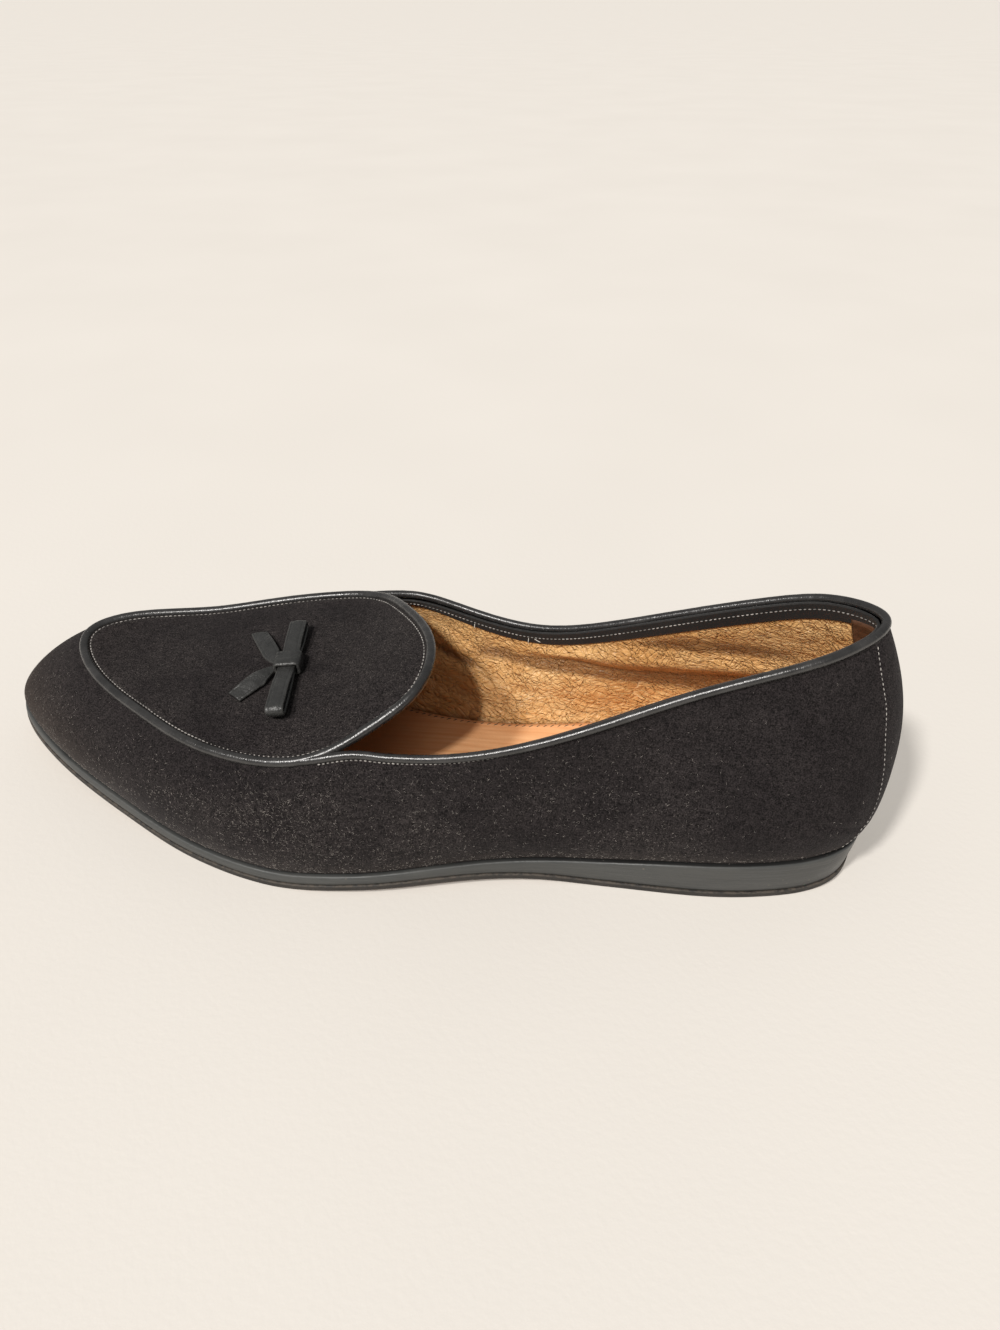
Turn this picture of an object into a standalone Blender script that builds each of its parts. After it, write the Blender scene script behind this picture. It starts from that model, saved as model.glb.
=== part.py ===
"""A soft Belgian loafer for the left foot, as a Blender script in metres, +Z up.

The toe points along +X and the outer side of the foot is +Y. The shoe stands on z = 0, and the
middle of its outline lies on the origin. Run it with: blender --background --python part.py
"""

import math
from collections import namedtuple

import bmesh
import bpy
import numpy as np
from mathutils import Matrix, Vector

MM = 0.001

# Driving dimensions
LENGTH = 283.0 * MM  # outsole, from the back of the heel to the tip of the toe
BALL_WIDTH = 92.0 * MM  # the width that the sections' shares are taken from
COLLAR_HEIGHT = 80.0 * MM  # from the floor to the piping at the back
HEEL_STACK = 12.4 * MM  # midsole under the heel
FORE_STACK = 3.0 * MM  # midsole under the ball of the foot
OUTSOLE = 2.0 * MM
TOE_SPRING = 9.5 * MM
ARCH_RISE = 2.6 * MM
HEEL_RISE = 3.6 * MM  # how far the outsole curls up at the very back
INSOLE = 2.0 * MM
WALL = 2.0 * MM  # suede and lining of vamp and quarters together
APRON_SHEET = 2.2 * MM
PIPING = 3.4 * MM  # diameter of both pipings
SOLE_LIP = 1.4 * MM  # how far the midsole stands out past the upper's feather line
OUTSOLE_LIP = 0.5 * MM  # how far the outsole stands out past the midsole
HEEL_TAPER = 1.6 * MM  # how far the sole's side slopes in towards the floor, under the heel
EDGE_ROUND = 0.7 * MM  # chamfer along the midsole's upper edge
APRON_CROWN = 0.045  # how far the apron arches up, as a share of its width there
GAP = 0.3 * MM  # clearance between pieces that lie on each other

# The bow and where it lies, measured from the back of the heel and the middle line
STRAP_WIDTH = 5.4 * MM
STRAP = 1.0 * MM
INNER_LOOP = 19.5 * MM  # from the knot's middle to the loop's end
OUTER_LOOP = 22.5 * MM
LOOP_HEIGHT = 3.6 * MM
LOOP_RISE = 0.45  # share of a loop's length over which it opens to its full height
KNOT_WIDTH = 6.6 * MM
INNER_TAIL = 19.0 * MM
INNER_TAIL_TURN = 62.0  # degrees, from straight ahead
OUTER_TAIL = 14.5 * MM
OUTER_TAIL_TURN = 43.0
INNER_TAIL_SLANT = -24.0  # degrees that a tail's end is cut aslant
OUTER_TAIL_SLANT = 6.0
BOW_AT = 0.621  # share of LENGTH
BOW_ASIDE = 3.6 * MM
BOW_TURN = 9.0  # degrees

# How finely the curved pieces are cut into flat faces
ROUND_COUNT = 96
WALL_COUNT = 10
APRON_COUNT = 60
ACROSS_COUNT = 10
TRIM_STEP = 0.003  # of a section, in finding where the wall clears the pipings
LOOP_COUNT = 8
CORNER_COUNT = 4
TAIL_COUNT = 9
PLANE_POINTS = 6  # of the apron's own points, in finding its height at a place

# One row for each section of the upper, from the back of the heel to the toe.
# at: share of LENGTH. out, inn: share of BALL_WIDTH. Both give the feather line, where the wall
# meets the sole. rim_at, rim_out, rim_in: the same for the line of the piping, and up_out, up_in:
# its height as a share of COLLAR_HEIGHT.
# flare: degrees that the wall leans out at the sole. fall: degrees above level at the piping.
# swell, reach: how far each direction holds, as a share of the section's height.
Section = namedtuple("Section", "at out inn rim_at rim_out rim_in up_out up_in flare swell fall reach")
SECTIONS = [
    Section(0.007, 0.000, 0.000, 0.031, 0.000, 0.000, 1.000, 1.000, 26, 0.36, 62, 0.39),
    Section(0.022, 0.190, -0.189, 0.064, 0.124, -0.133, 0.970, 0.970, 30, 0.36, 76, 0.37),
    Section(0.074, 0.292, -0.297, 0.118, 0.196, -0.200, 0.923, 0.902, 30, 0.35, 84, 0.36),
    Section(0.166, 0.346, -0.344, 0.202, 0.241, -0.243, 0.820, 0.787, 28, 0.34, 89, 0.37),
    Section(0.275, 0.350, -0.326, 0.285, 0.292, -0.276, 0.700, 0.673, 27, 0.35, 89, 0.39),
    Section(0.385, 0.391, -0.280, 0.368, 0.345, -0.324, 0.607, 0.590, 25, 0.39, 81, 0.39),
    Section(0.494, 0.484, -0.305, 0.450, 0.385, -0.379, 0.570, 0.603, 22, 0.36, 70, 0.38),
    Section(0.604, 0.509, -0.412, 0.510, 0.388, -0.396, 0.572, 0.643, 22, 0.31, 55, 0.36),
    Section(0.708, 0.434, -0.497, 0.577, 0.416, -0.416, 0.523, 0.608, 22, 0.30, 45, 0.35),
    Section(0.804, 0.309, -0.498, 0.677, 0.379, -0.387, 0.500, 0.565, 22, 0.30, 38, 0.36),
    Section(0.891, 0.174, -0.436, 0.762, 0.253, -0.317, 0.500, 0.535, 21, 0.27, 32, 0.37),
    Section(0.963, 0.020, -0.328, 0.844, 0.089, -0.239, 0.507, 0.540, 18, 0.25, 29, 0.42),
    Section(0.993, -0.141, -0.141, 0.887, -0.104, -0.104, 0.530, 0.530, 16, 0.20, 26, 0.47),
]
SEAM_START = 8  # from this row on, the piping's line is also the seam around the apron

# The tongue's free edge, from the outer end of the seam to the inner one.
# at: share of LENGTH. side: share of BALL_WIDTH. up: share of COLLAR_HEIGHT.
Edge = namedtuple("Edge", "at side up")
TONGUE = [
    Edge(0.511, 0.322, 0.605),
    Edge(0.467, 0.198, 0.700),
    Edge(0.470, -0.022, 0.730),
    Edge(0.515, -0.245, 0.690),
]

# The sole along its length. at: share of LENGTH. toe, arch, back: the shares of TOE_SPRING, ARCH_RISE
# and HEEL_RISE that lift it there. stack: 0 where the midsole is FORE_STACK, 1 where it is HEEL_STACK.
Ground = namedtuple("Ground", "at toe arch back stack")
SOLE_LINE = [
    Ground(0.000, 0.00, 0.00, 1.00, 1.00),
    Ground(0.025, 0.00, 0.00, 0.36, 1.00),
    Ground(0.080, 0.00, 0.00, 0.00, 0.98),
    Ground(0.170, 0.00, 0.00, 0.00, 0.90),
    Ground(0.260, 0.00, 0.00, 0.00, 0.60),
    Ground(0.350, 0.00, 0.70, 0.00, 0.23),
    Ground(0.430, 0.00, 1.00, 0.00, 0.06),
    Ground(0.520, 0.00, 0.70, 0.00, 0.00),
    Ground(0.620, 0.00, 0.00, 0.00, 0.00),
    Ground(0.710, 0.00, 0.00, 0.00, 0.00),
    Ground(0.800, 0.23, 0.00, 0.00, 0.00),
    Ground(0.890, 0.53, 0.00, 0.00, 0.00),
    Ground(1.000, 1.00, 0.00, 0.00, 0.00),
]


Assembly = namedtuple("Assembly", "parts centre")


def start_scene():
    for thing in list(bpy.data.objects):
        bpy.data.objects.remove(thing, do_unlink=True)
    parts = bpy.data.collections.new("belgian_loafer")
    bpy.context.scene.collection.children.link(parts)
    centre = bpy.data.objects.new("loafer_centre", None)
    parts.objects.link(centre)
    return Assembly(parts, centre)


def closed_spline(points, count):
    """Count points, evenly spread, on the smooth closed curve through the given points."""
    p = np.asarray(points, float)
    n = len(p)
    system = 4.0 * np.eye(n) + np.roll(np.eye(n), 1, 0) + np.roll(np.eye(n), -1, 0)
    slope = np.linalg.solve(system, 3.0 * (np.roll(p, -1, 0) - np.roll(p, 1, 0)))
    place = np.arange(count) * n / count
    a = np.floor(place).astype(int) % n
    b = (a + 1) % n
    t = (place - np.floor(place))[:, None]
    return (
        (2 * t**3 - 3 * t**2 + 1) * p[a]
        + (t**3 - 2 * t**2 + t) * slope[a]
        + (3 * t**2 - 2 * t**3) * p[b]
        + (t**3 - t**2) * slope[b]
    )


def eased(places, values, x):
    """A smooth curve through the values that never overshoots them."""
    places = np.asarray(places, float)
    values = np.asarray(values, float)
    steps = np.diff(places)
    grades = np.diff(values) / steps
    slopes = np.zeros(len(places))
    for i in range(1, len(places) - 1):
        if grades[i - 1] * grades[i] > 0:
            slopes[i] = 2.0 * grades[i - 1] * grades[i] / (grades[i - 1] + grades[i])
    slopes[-1] = grades[-1]
    x = np.clip(np.asarray(x, float), places[0], places[-1])
    i = np.clip(np.searchsorted(places, x, side="right") - 1, 0, len(steps) - 1)
    t = (x - places[i]) / steps[i]
    return (
        (2 * t**3 - 3 * t**2 + 1) * values[i]
        + (t**3 - 2 * t**2 + t) * steps[i] * slopes[i]
        + (3 * t**2 - 2 * t**3) * values[i + 1]
        + (t**3 - t**2) * steps[i] * slopes[i + 1]
    )


def sole_line(column, x):
    return eased([row.at * LENGTH for row in SOLE_LINE], [getattr(row, column) for row in SOLE_LINE], x)


def ground(x):
    """Height of the outsole's underside above the floor."""
    toe = TOE_SPRING * sole_line("toe", x)
    arch = ARCH_RISE * sole_line("arch", x)
    back = HEEL_RISE * sole_line("back", x)
    return toe + arch + back


def midsole_bottom(x):
    return ground(x) + OUTSOLE + GAP


def midsole_top(x):
    return midsole_bottom(x) + FORE_STACK + (HEEL_STACK - FORE_STACK) * sole_line("stack", x)


def outward(loop):
    """The level direction that points out of a closed line, at each of its points."""
    along = np.roll(loop, -1, 0) - np.roll(loop, 1, 0)
    out = np.stack([-along[:, 1], along[:, 0], np.zeros(len(loop))], 1)
    return out / np.linalg.norm(out, axis=1)[:, None]


def around(outer_rows, inner_rows):
    """Rows of the outer side, heel to toe, and then those of the inner side, toe to heel."""
    return outer_rows + inner_rows[-2:0:-1]


def upper_lines():
    """The feather line, the piping's line and the wall's directions, all round the shoe."""
    outer = []
    inner = []
    for row in SECTIONS:
        form = [row.flare, row.swell, row.fall, row.reach]
        feather = [row.at * LENGTH, row.out * BALL_WIDTH, 0.0]
        rim = [row.rim_at * LENGTH, row.rim_out * BALL_WIDTH, row.up_out * COLLAR_HEIGHT]
        outer.append(feather + rim + form)
        feather = [row.at * LENGTH, row.inn * BALL_WIDTH, 0.0]
        rim = [row.rim_at * LENGTH, row.rim_in * BALL_WIDTH, row.up_in * COLLAR_HEIGHT]
        inner.append(feather + rim + form)
    lines = closed_spline(around(outer, inner), ROUND_COUNT)
    feather = lines[:, 0:3]
    feather[:, 2] = midsole_top(feather[:, 0]) + GAP
    rim = lines[:, 3:6]
    return feather, rim, lines[:, 6:10]


def apron_loop():
    """The line of the apron's piping: from the toe back along the inner side, round the tongue's
    free edge and forward along the outer side."""
    seam_out = []
    seam_in = []
    for row in SECTIONS[SEAM_START:]:
        x = row.rim_at * LENGTH
        seam_out.append((x, row.rim_out * BALL_WIDTH, row.up_out * COLLAR_HEIGHT))
        seam_in.append((x, row.rim_in * BALL_WIDTH, row.up_in * COLLAR_HEIGHT))
    tongue = [(e.at * LENGTH, e.side * BALL_WIDTH, e.up * COLLAR_HEIGHT) for e in TONGUE]
    return closed_spline(seam_in[::-1] + tongue[::-1] + seam_out[:-1], APRON_COUNT)


def wall_points(feather, rim, form, steps):
    """The outer face of the wall: one curve a section, from the feather line to below the piping."""
    flare = np.radians(form[:, 0:1])
    fall = np.radians(form[:, 2:3])
    height = np.linalg.norm(rim - feather, axis=1)[:, None]
    up = np.array([0.0, 0.0, 1.0])
    leave = outward(feather) * np.sin(flare) + up * np.cos(flare)
    arrive = -outward(rim) * np.cos(fall) + up * np.sin(fall)
    low = feather + leave * height * form[:, 1:2]
    high = rim - arrive * height * form[:, 3:4]
    trimmed = np.ones((len(rim), 1))
    seam = apron_loop()
    clear = PIPING / 2 + GAP
    for i in range(len(rim)):
        point = rim[i]
        while nearest(point, rim) < clear or nearest(point, seam) < clear:
            trimmed[i] -= TRIM_STEP
            point = bend(feather, low, high, rim, trimmed)[i]
    return np.array([bend(feather, low, high, rim, share * trimmed) for share in np.linspace(0.0, 1.0, steps)])


def bend(start, low, high, end, t):
    """Points on the curves that leave each start towards low and reach each end from high."""
    return (1 - t) ** 3 * start + 3 * (1 - t) ** 2 * t * low + 3 * (1 - t) * t**2 * high + t**3 * end


def surface_normals(rows):
    """Outward directions on a grid of points whose columns close into a ring."""
    along = np.roll(rows, -1, 1) - np.roll(rows, 1, 1)
    rise = np.gradient(rows, axis=0)
    normal = np.cross(rise, along)
    return normal / np.linalg.norm(normal, axis=2)[:, :, None]


def painted(name, colour, roughness, sheen):
    paint = bpy.data.materials.new(name)
    paint.use_nodes = True
    surface = paint.node_tree.nodes["Principled BSDF"]
    surface.inputs["Base Color"].default_value = (*colour, 1.0)
    surface.inputs["Roughness"].default_value = roughness
    surface.inputs["Metallic"].default_value = 0.0
    surface.inputs["Sheen Weight"].default_value = sheen
    return paint


def add_mesh(name, points, faces, paint, loafer):
    """One closed body from points and faces, with its faces turned out."""
    mesh = bpy.data.meshes.new(name)
    mesh.from_pydata([tuple(map(float, point)) for point in points], [], faces)
    form = bmesh.new()
    form.from_mesh(mesh)
    bmesh.ops.recalc_face_normals(form, faces=form.faces)
    form.to_mesh(mesh)
    form.free()
    mesh.shade_smooth()
    mesh.set_sharp_from_angle(angle=math.radians(40))
    mesh.materials.append(paint)
    body = bpy.data.objects.new(name, mesh)
    body.parent = loafer.centre
    loafer.parts.objects.link(body)
    return body


def add_tube(name, points, closed, radius, paint, loafer):
    line = bpy.data.curves.new(name, "CURVE")
    line.dimensions = "3D"
    line.bevel_depth = radius
    line.bevel_resolution = 2
    line.use_fill_caps = True
    spline = line.splines.new("POLY")
    spline.points.add(len(points) - 1)
    for knot, point in zip(spline.points, points):
        knot.co = (*map(float, point), 1.0)
    spline.use_cyclic_u = closed
    line.materials.append(paint)
    body = bpy.data.objects.new(name, line)
    body.parent = loafer.centre
    loafer.parts.objects.link(body)
    return body


def ring_faces(rows, count, closed):
    """Quads between rows of count points, each row a ring, and between the last and first if closed."""
    faces = []
    for row in range(rows if closed else rows - 1):
        below = row * count
        above = (row + 1) % rows * count
        for i in range(count):
            j = (i + 1) % count
            faces.append((below + i, below + j, above + j, above + i))
    return faces


def lid_faces(start, count):
    """A lid over a ring, made of strips from its outer side to its inner side."""
    half = count // 2
    faces = [(start, start + 1, start + count - 1)]
    for i in range(1, half - 1):
        faces.append((start + i, start + i + 1, start + count - i - 1, start + count - i))
    faces.append((start + half - 1, start + half, start + half + 1))
    return faces


def add_upper(paint, loafer):
    """Vamp and quarters as one wall, open at the apron, at the collar and underneath."""
    feather, rim, form = upper_lines()
    outer = wall_points(feather, rim, form, WALL_COUNT)
    inner = outer - surface_normals(outer) * WALL
    inner[0] = feather - outward(feather) * WALL / np.cos(np.radians(form[:, 0:1]))
    rows = np.concatenate([outer, inner[::-1]])
    faces = ring_faces(len(rows), ROUND_COUNT, True)
    return add_mesh("upper", rows.reshape(-1, 3), faces, paint, loafer)


def add_plate(name, rings, paint, loafer):
    """A plate from a stack of rings, closed by a lid at each end."""
    count = len(rings[0])
    points = np.concatenate(rings)
    faces = ring_faces(len(rings), count, False)
    faces += lid_faces(0, count)
    faces += lid_faces((len(rings) - 1) * count, count)
    return add_mesh(name, points, faces, paint, loafer)


def ring_at(loop, offset, height):
    """The loop moved out by the offset, at the height that a function of x gives."""
    ring = loop + outward(loop) * offset
    ring[:, 2] = height(ring[:, 0])
    return ring


def add_sole(paints, loafer):
    feather, rim, form = upper_lines()
    low_lip = SOLE_LIP - HEEL_TAPER * sole_line("stack", feather[:, 0:1])
    add_plate(
        "outsole",
        [
            ring_at(feather, low_lip + OUTSOLE_LIP, ground),
            ring_at(feather, low_lip + OUTSOLE_LIP, lambda x: ground(x) + OUTSOLE),
        ],
        paints["outsole"],
        loafer,
    )
    add_plate(
        "midsole",
        [
            ring_at(feather, low_lip, midsole_bottom),
            ring_at(feather, SOLE_LIP, lambda x: midsole_top(x) - EDGE_ROUND),
            ring_at(feather, SOLE_LIP - EDGE_ROUND, midsole_top),
        ],
        paints["sole_edge"],
        loafer,
    )
    inset = -(WALL / np.cos(np.radians(form[:, 0:1])) + GAP)
    add_plate(
        "insole",
        [
            ring_at(feather, inset, lambda x: midsole_top(x) + GAP),
            ring_at(feather, inset, lambda x: midsole_top(x) + GAP + INSOLE),
        ],
        paints["insole"],
        loafer,
    )


def apron_rows(inset):
    """Points across the apron, row by row from the toe to the tongue's tip."""
    loop = apron_loop()
    edge = loop - outward(loop) * inset
    half = APRON_COUNT // 2
    rows = []
    for i in range(1, half):
        inner = edge[i]
        outer = edge[APRON_COUNT - i]
        width = np.linalg.norm(outer - inner)
        row = []
        for t in np.linspace(0.0, 1.0, ACROSS_COUNT + 1):
            point = outer + (inner - outer) * t
            point[2] += APRON_CROWN * width * 4.0 * t * (1.0 - t)
            row.append(point)
        rows.append(row)
    return edge[0], np.array(rows), edge[half]


def add_apron(paint, loafer):
    """The apron over the toes, whose rear end is the free tongue."""
    toe, rows, tip = apron_rows(PIPING / 2 + GAP)
    along = np.gradient(rows, axis=0)
    across = np.gradient(rows, axis=1)
    normal = np.cross(along, across)
    normal *= np.sign(normal[:, :, 2:3])
    normal /= np.linalg.norm(normal, axis=2)[:, :, None]
    down = np.array([0.0, 0.0, APRON_SHEET])
    count = ACROSS_COUNT + 1
    top = [toe, *rows.reshape(-1, 3), tip]
    bottom = [toe - down, *(rows - normal * APRON_SHEET).reshape(-1, 3), tip - down]
    last = len(top) - 1
    faces = []
    for base in (0, len(top)):
        first = base + 1
        for t in range(ACROSS_COUNT):
            faces.append((base, first + t, first + t + 1))
            end = base + last - count
            faces.append((end + t, base + last, end + t + 1))
        for i in range(len(rows) - 1):
            for t in range(ACROSS_COUNT):
                a = first + i * count + t
                faces.append((a, a + 1, a + count + 1, a + count))
    outline = [0] + [1 + i * count for i in range(len(rows))] + [last]
    outline += [i * count for i in range(len(rows), 0, -1)]
    for a, b in zip(outline, outline[1:] + outline[:1]):
        faces.append((a, b, b + len(top), a + len(top)))
    return add_mesh("apron", top + bottom, faces, paint, loafer)


def add_pipings(paint, loafer):
    """The roll around the apron, and the one along the topline that ends under it."""
    loop = apron_loop()
    add_tube("apron_piping", loop, True, PIPING / 2, paint, loafer)
    rim = upper_lines()[1]
    clear = PIPING + GAP
    topline = []
    half = ROUND_COUNT // 2
    for point in np.roll(rim, half, 0):
        if nearest(point, loop) > clear and point[0] < loop[:, 0].mean():
            topline.append(point)
    add_tube("topline_piping", topline, False, PIPING / 2, paint, loafer)


def nearest(point, loop):
    """Distance from a point to the closed line through the loop's points."""
    start = loop
    run = np.roll(loop, -1, 0) - loop
    share = np.clip(((point - start) * run).sum(1) / (run * run).sum(1), 0.0, 1.0)
    return np.linalg.norm(start + run * share[:, None] - point, axis=1).min()


def apron_plane(x, y):
    """The apron's top face near a place in plan: its height there and its slopes along x and y."""
    toe, rows, tip = apron_rows(0.0)
    flat = rows.reshape(-1, 3)
    distance = np.hypot(flat[:, 0] - x, flat[:, 1] - y)
    close = flat[np.argsort(distance)[:PLANE_POINTS]]
    fit = np.c_[close[:, 0:2] - (x, y), np.ones(PLANE_POINTS)]
    slope_x, slope_y, height = np.linalg.lstsq(fit, close[:, 2], rcond=None)[0]
    return height, slope_x, slope_y


def bow_frame():
    """The bow's place on the apron. Its x is towards the toe, y along the loops and z up."""
    x = BOW_AT * LENGTH
    height, slope_x, slope_y = apron_plane(x, BOW_ASIDE)
    turn = math.radians(BOW_TURN)
    up = Vector((-slope_x, -slope_y, 1.0)).normalized()
    along = Vector((-math.sin(turn), math.cos(turn), 0.0))
    ahead = along.cross(up).normalized()
    frame = Matrix((ahead, up.cross(ahead), up)).transposed().to_4x4()
    frame.translation = Vector((x, BOW_ASIDE, height))
    return frame


def flat_outline(name, outlines, width, frame, paint, loafer):
    """A flat shape with its holes, cut from a sheet as thick as the strap is wide."""
    shape = bpy.data.curves.new(name, "CURVE")
    shape.dimensions = "2D"
    shape.fill_mode = "BOTH"
    shape.extrude = width / 2
    for outline in outlines:
        spline = shape.splines.new("POLY")
        spline.points.add(len(outline) - 1)
        for knot, (a, b) in zip(spline.points, outline):
            knot.co = (a, b, 0.0, 1.0)
        spline.use_cyclic_u = True
    shape.materials.append(paint)
    body = bpy.data.objects.new(name, shape)
    body.parent = loafer.centre
    body.matrix_local = frame
    loafer.parts.objects.link(body)
    return body


def loop_outline(side, length, start, inset):
    """One loop's outline from the side: out along the top, round the end and back below."""
    free = length - KNOT_WIDTH / 2
    radius = LOOP_HEIGHT / 2 - inset
    straight = length - LOOP_HEIGHT / 2
    top = []
    for y in np.linspace(start * free, straight, LOOP_COUNT):
        rise = min(1.0, max(0.0, (y - KNOT_WIDTH / 2) / (free * LOOP_RISE)))
        half_height = STRAP + (LOOP_HEIGHT / 2 - STRAP) * (3.0 - 2.0 * rise) * rise**2
        top.append((side * y, half_height - inset))
    turn = np.linspace(math.pi / 2, -math.pi / 2, LOOP_COUNT)[1:-1]
    end = [(side * (straight + radius * math.cos(a)), radius * math.sin(a)) for a in turn]
    return top + end + [(y, -z) for y, z in reversed(top)]


def add_bow(paint, loafer):
    """The folded strap with its two loops, the band around its middle and the two tails."""
    frame = bow_frame()
    middle = GAP + STRAP + GAP + STRAP  # height of the folded strap's middle over the apron
    lift = Matrix.Translation((0.0, 0.0, middle))
    strap_axes = Matrix(((0, 0, 1, 0), (1, 0, 0, 0), (0, 1, 0, 0), (0, 0, 0, 1)))
    outer = loop_outline(1.0, OUTER_LOOP, 0.0, 0.0)
    inner = loop_outline(-1.0, INNER_LOOP, 0.0, 0.0)
    outlines = [
        outer[:-1] + inner[::-1][:-1],
        loop_outline(1.0, OUTER_LOOP, LOOP_RISE, STRAP),
        loop_outline(-1.0, INNER_LOOP, LOOP_RISE, STRAP),
    ]
    flat_outline("bow_loops", outlines, STRAP_WIDTH, frame @ lift @ strap_axes, paint, loafer)
    band_axes = Matrix(((1, 0, 0, 0), (0, 0, -1, 0), (0, 1, 0, 0), (0, 0, 0, 1)))
    depth = STRAP_WIDTH / 2 + GAP
    height = STRAP + GAP
    outlines = [
        rounded_box(depth + STRAP, height + STRAP, STRAP),
        rounded_box(depth, height, STRAP / 4),
    ]
    flat_outline("bow_knot", outlines, KNOT_WIDTH, frame @ lift @ band_axes, paint, loafer)
    inner_tail = (INNER_TAIL, -INNER_TAIL_TURN, INNER_TAIL_SLANT)
    outer_tail = (OUTER_TAIL, OUTER_TAIL_TURN, OUTER_TAIL_SLANT)
    add_tail("bow_tail_inner", *inner_tail, frame, paint, loafer)
    add_tail("bow_tail_outer", *outer_tail, frame, paint, loafer)


def rounded_box(half_width, half_height, radius):
    """A rectangle with round corners, around the origin."""
    points = []
    for corner, (x, y) in enumerate(((1, 1), (-1, 1), (-1, -1), (1, -1))):
        for turn in np.linspace(0.0, math.pi / 2, CORNER_COUNT):
            angle = corner * math.pi / 2 + turn
            across = x * (half_width - radius) + radius * math.cos(angle)
            points.append((across, y * (half_height - radius) + radius * math.sin(angle)))
    return points


def add_tail(name, length, angle, end_slant, frame, paint, loafer):
    """One tail: a flat strap that leaves the knot's front and lies down on the apron."""
    side = math.copysign(1.0, angle)
    start = np.array([STRAP_WIDTH / 2 + GAP + STRAP + GAP, side * KNOT_WIDTH / 4])
    heading = math.radians(angle)
    ahead = np.array([math.cos(heading), math.sin(heading)])
    tops = []
    bottoms = []
    for share in np.linspace(0.0, 1.0, TAIL_COUNT):
        freed = min(1.0, share * length / STRAP_WIDTH)
        slant = math.radians(end_slant) * share**3
        cross = math.pi / 2 + heading * freed + slant
        half = (KNOT_WIDTH / 4 - GAP) * (1.0 - freed) + STRAP_WIDTH / 2 * freed
        reach = np.array([math.cos(cross), math.sin(cross)]) * half
        lift = GAP + STRAP * (1.0 - freed)
        for edge in (-1.0, 1.0):
            spot = start + ahead * length * share + reach * edge
            place = frame @ Vector((*spot, 0.0))
            base = apron_plane(place.x, place.y)[0] + lift
            bottoms.append((place.x, place.y, base))
            tops.append((place.x, place.y, base + STRAP))
    rows = []
    for i in range(TAIL_COUNT):
        a = 2 * i
        rows.append([bottoms[a], bottoms[a + 1], tops[a + 1], tops[a]])
    faces = ring_faces(TAIL_COUNT, 4, False)
    last = 4 * (TAIL_COUNT - 1)
    faces += [(0, 1, 2, 3), (last + 3, last + 2, last + 1, last)]
    points = [point for row in rows for point in row]
    return add_mesh(name, points, faces, paint, loafer)


def centre_on_floor(loafer):
    """Move the whole shoe so that the middle of its outline lies on the origin."""
    bpy.context.view_layer.update()
    corners = []
    for body in loafer.parts.objects:
        if body.type != "EMPTY":
            corners += [body.matrix_world @ Vector(corner) for corner in body.bound_box]
    spots = np.array(corners)
    middle = (spots.min(0) + spots.max(0)) / 2
    loafer.centre.location = (-middle[0], -middle[1], 0.0)


def main():
    loafer = start_scene()
    paints = {
        "suede": painted("charcoal_suede", (0.035, 0.032, 0.032), 0.9, 0.5),
        "piping": painted("dark_grey_leather", (0.045, 0.045, 0.047), 0.42, 0.0),
        "sole_edge": painted("painted_sole_edge", (0.075, 0.078, 0.08), 0.5, 0.0),
        "outsole": painted("leather_outsole", (0.05, 0.035, 0.025), 0.65, 0.0),
        "insole": painted("insole_leather", (0.42, 0.16, 0.07), 0.55, 0.0),
    }
    add_upper(paints["suede"], loafer)
    add_sole(paints, loafer)
    add_apron(paints["suede"], loafer)
    add_pipings(paints["piping"], loafer)
    add_bow(paints["piping"], loafer)
    centre_on_floor(loafer)


main()
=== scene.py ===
import math
from collections import namedtuple

import bmesh
import bpy
import numpy as np
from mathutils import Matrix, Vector


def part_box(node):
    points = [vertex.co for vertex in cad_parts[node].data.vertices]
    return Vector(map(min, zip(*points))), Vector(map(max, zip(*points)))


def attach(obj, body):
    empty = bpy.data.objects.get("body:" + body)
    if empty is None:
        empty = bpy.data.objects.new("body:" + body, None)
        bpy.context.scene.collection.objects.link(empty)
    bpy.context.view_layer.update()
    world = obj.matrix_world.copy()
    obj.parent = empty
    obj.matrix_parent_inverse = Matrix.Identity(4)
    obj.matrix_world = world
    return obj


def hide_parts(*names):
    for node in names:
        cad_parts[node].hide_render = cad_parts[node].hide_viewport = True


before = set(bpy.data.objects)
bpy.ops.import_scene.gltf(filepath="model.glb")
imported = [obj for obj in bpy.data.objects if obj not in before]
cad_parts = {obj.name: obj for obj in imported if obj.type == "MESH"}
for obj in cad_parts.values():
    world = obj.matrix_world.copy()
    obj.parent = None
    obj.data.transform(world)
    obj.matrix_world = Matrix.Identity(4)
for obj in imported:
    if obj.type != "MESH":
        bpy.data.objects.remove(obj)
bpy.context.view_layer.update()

MM = 0.001

# The shoe's sizes, as its solids have them
LENGTH = 283.0 * MM
BALL_WIDTH = 92.0 * MM
COLLAR_HEIGHT = 80.0 * MM
HEEL_STACK = 12.4 * MM
FORE_STACK = 3.0 * MM
OUTSOLE = 2.0 * MM
TOE_SPRING = 9.5 * MM
ARCH_RISE = 2.6 * MM
HEEL_RISE = 3.6 * MM
INSOLE = 2.0 * MM
WALL = 2.0 * MM
APRON_SHEET = 2.2 * MM
PIPING = 3.4 * MM
SOLE_LIP = 1.4 * MM
OUTSOLE_LIP = 0.5 * MM
HEEL_TAPER = 1.6 * MM
APRON_CROWN = 0.045
GAP = 0.3 * MM

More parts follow.
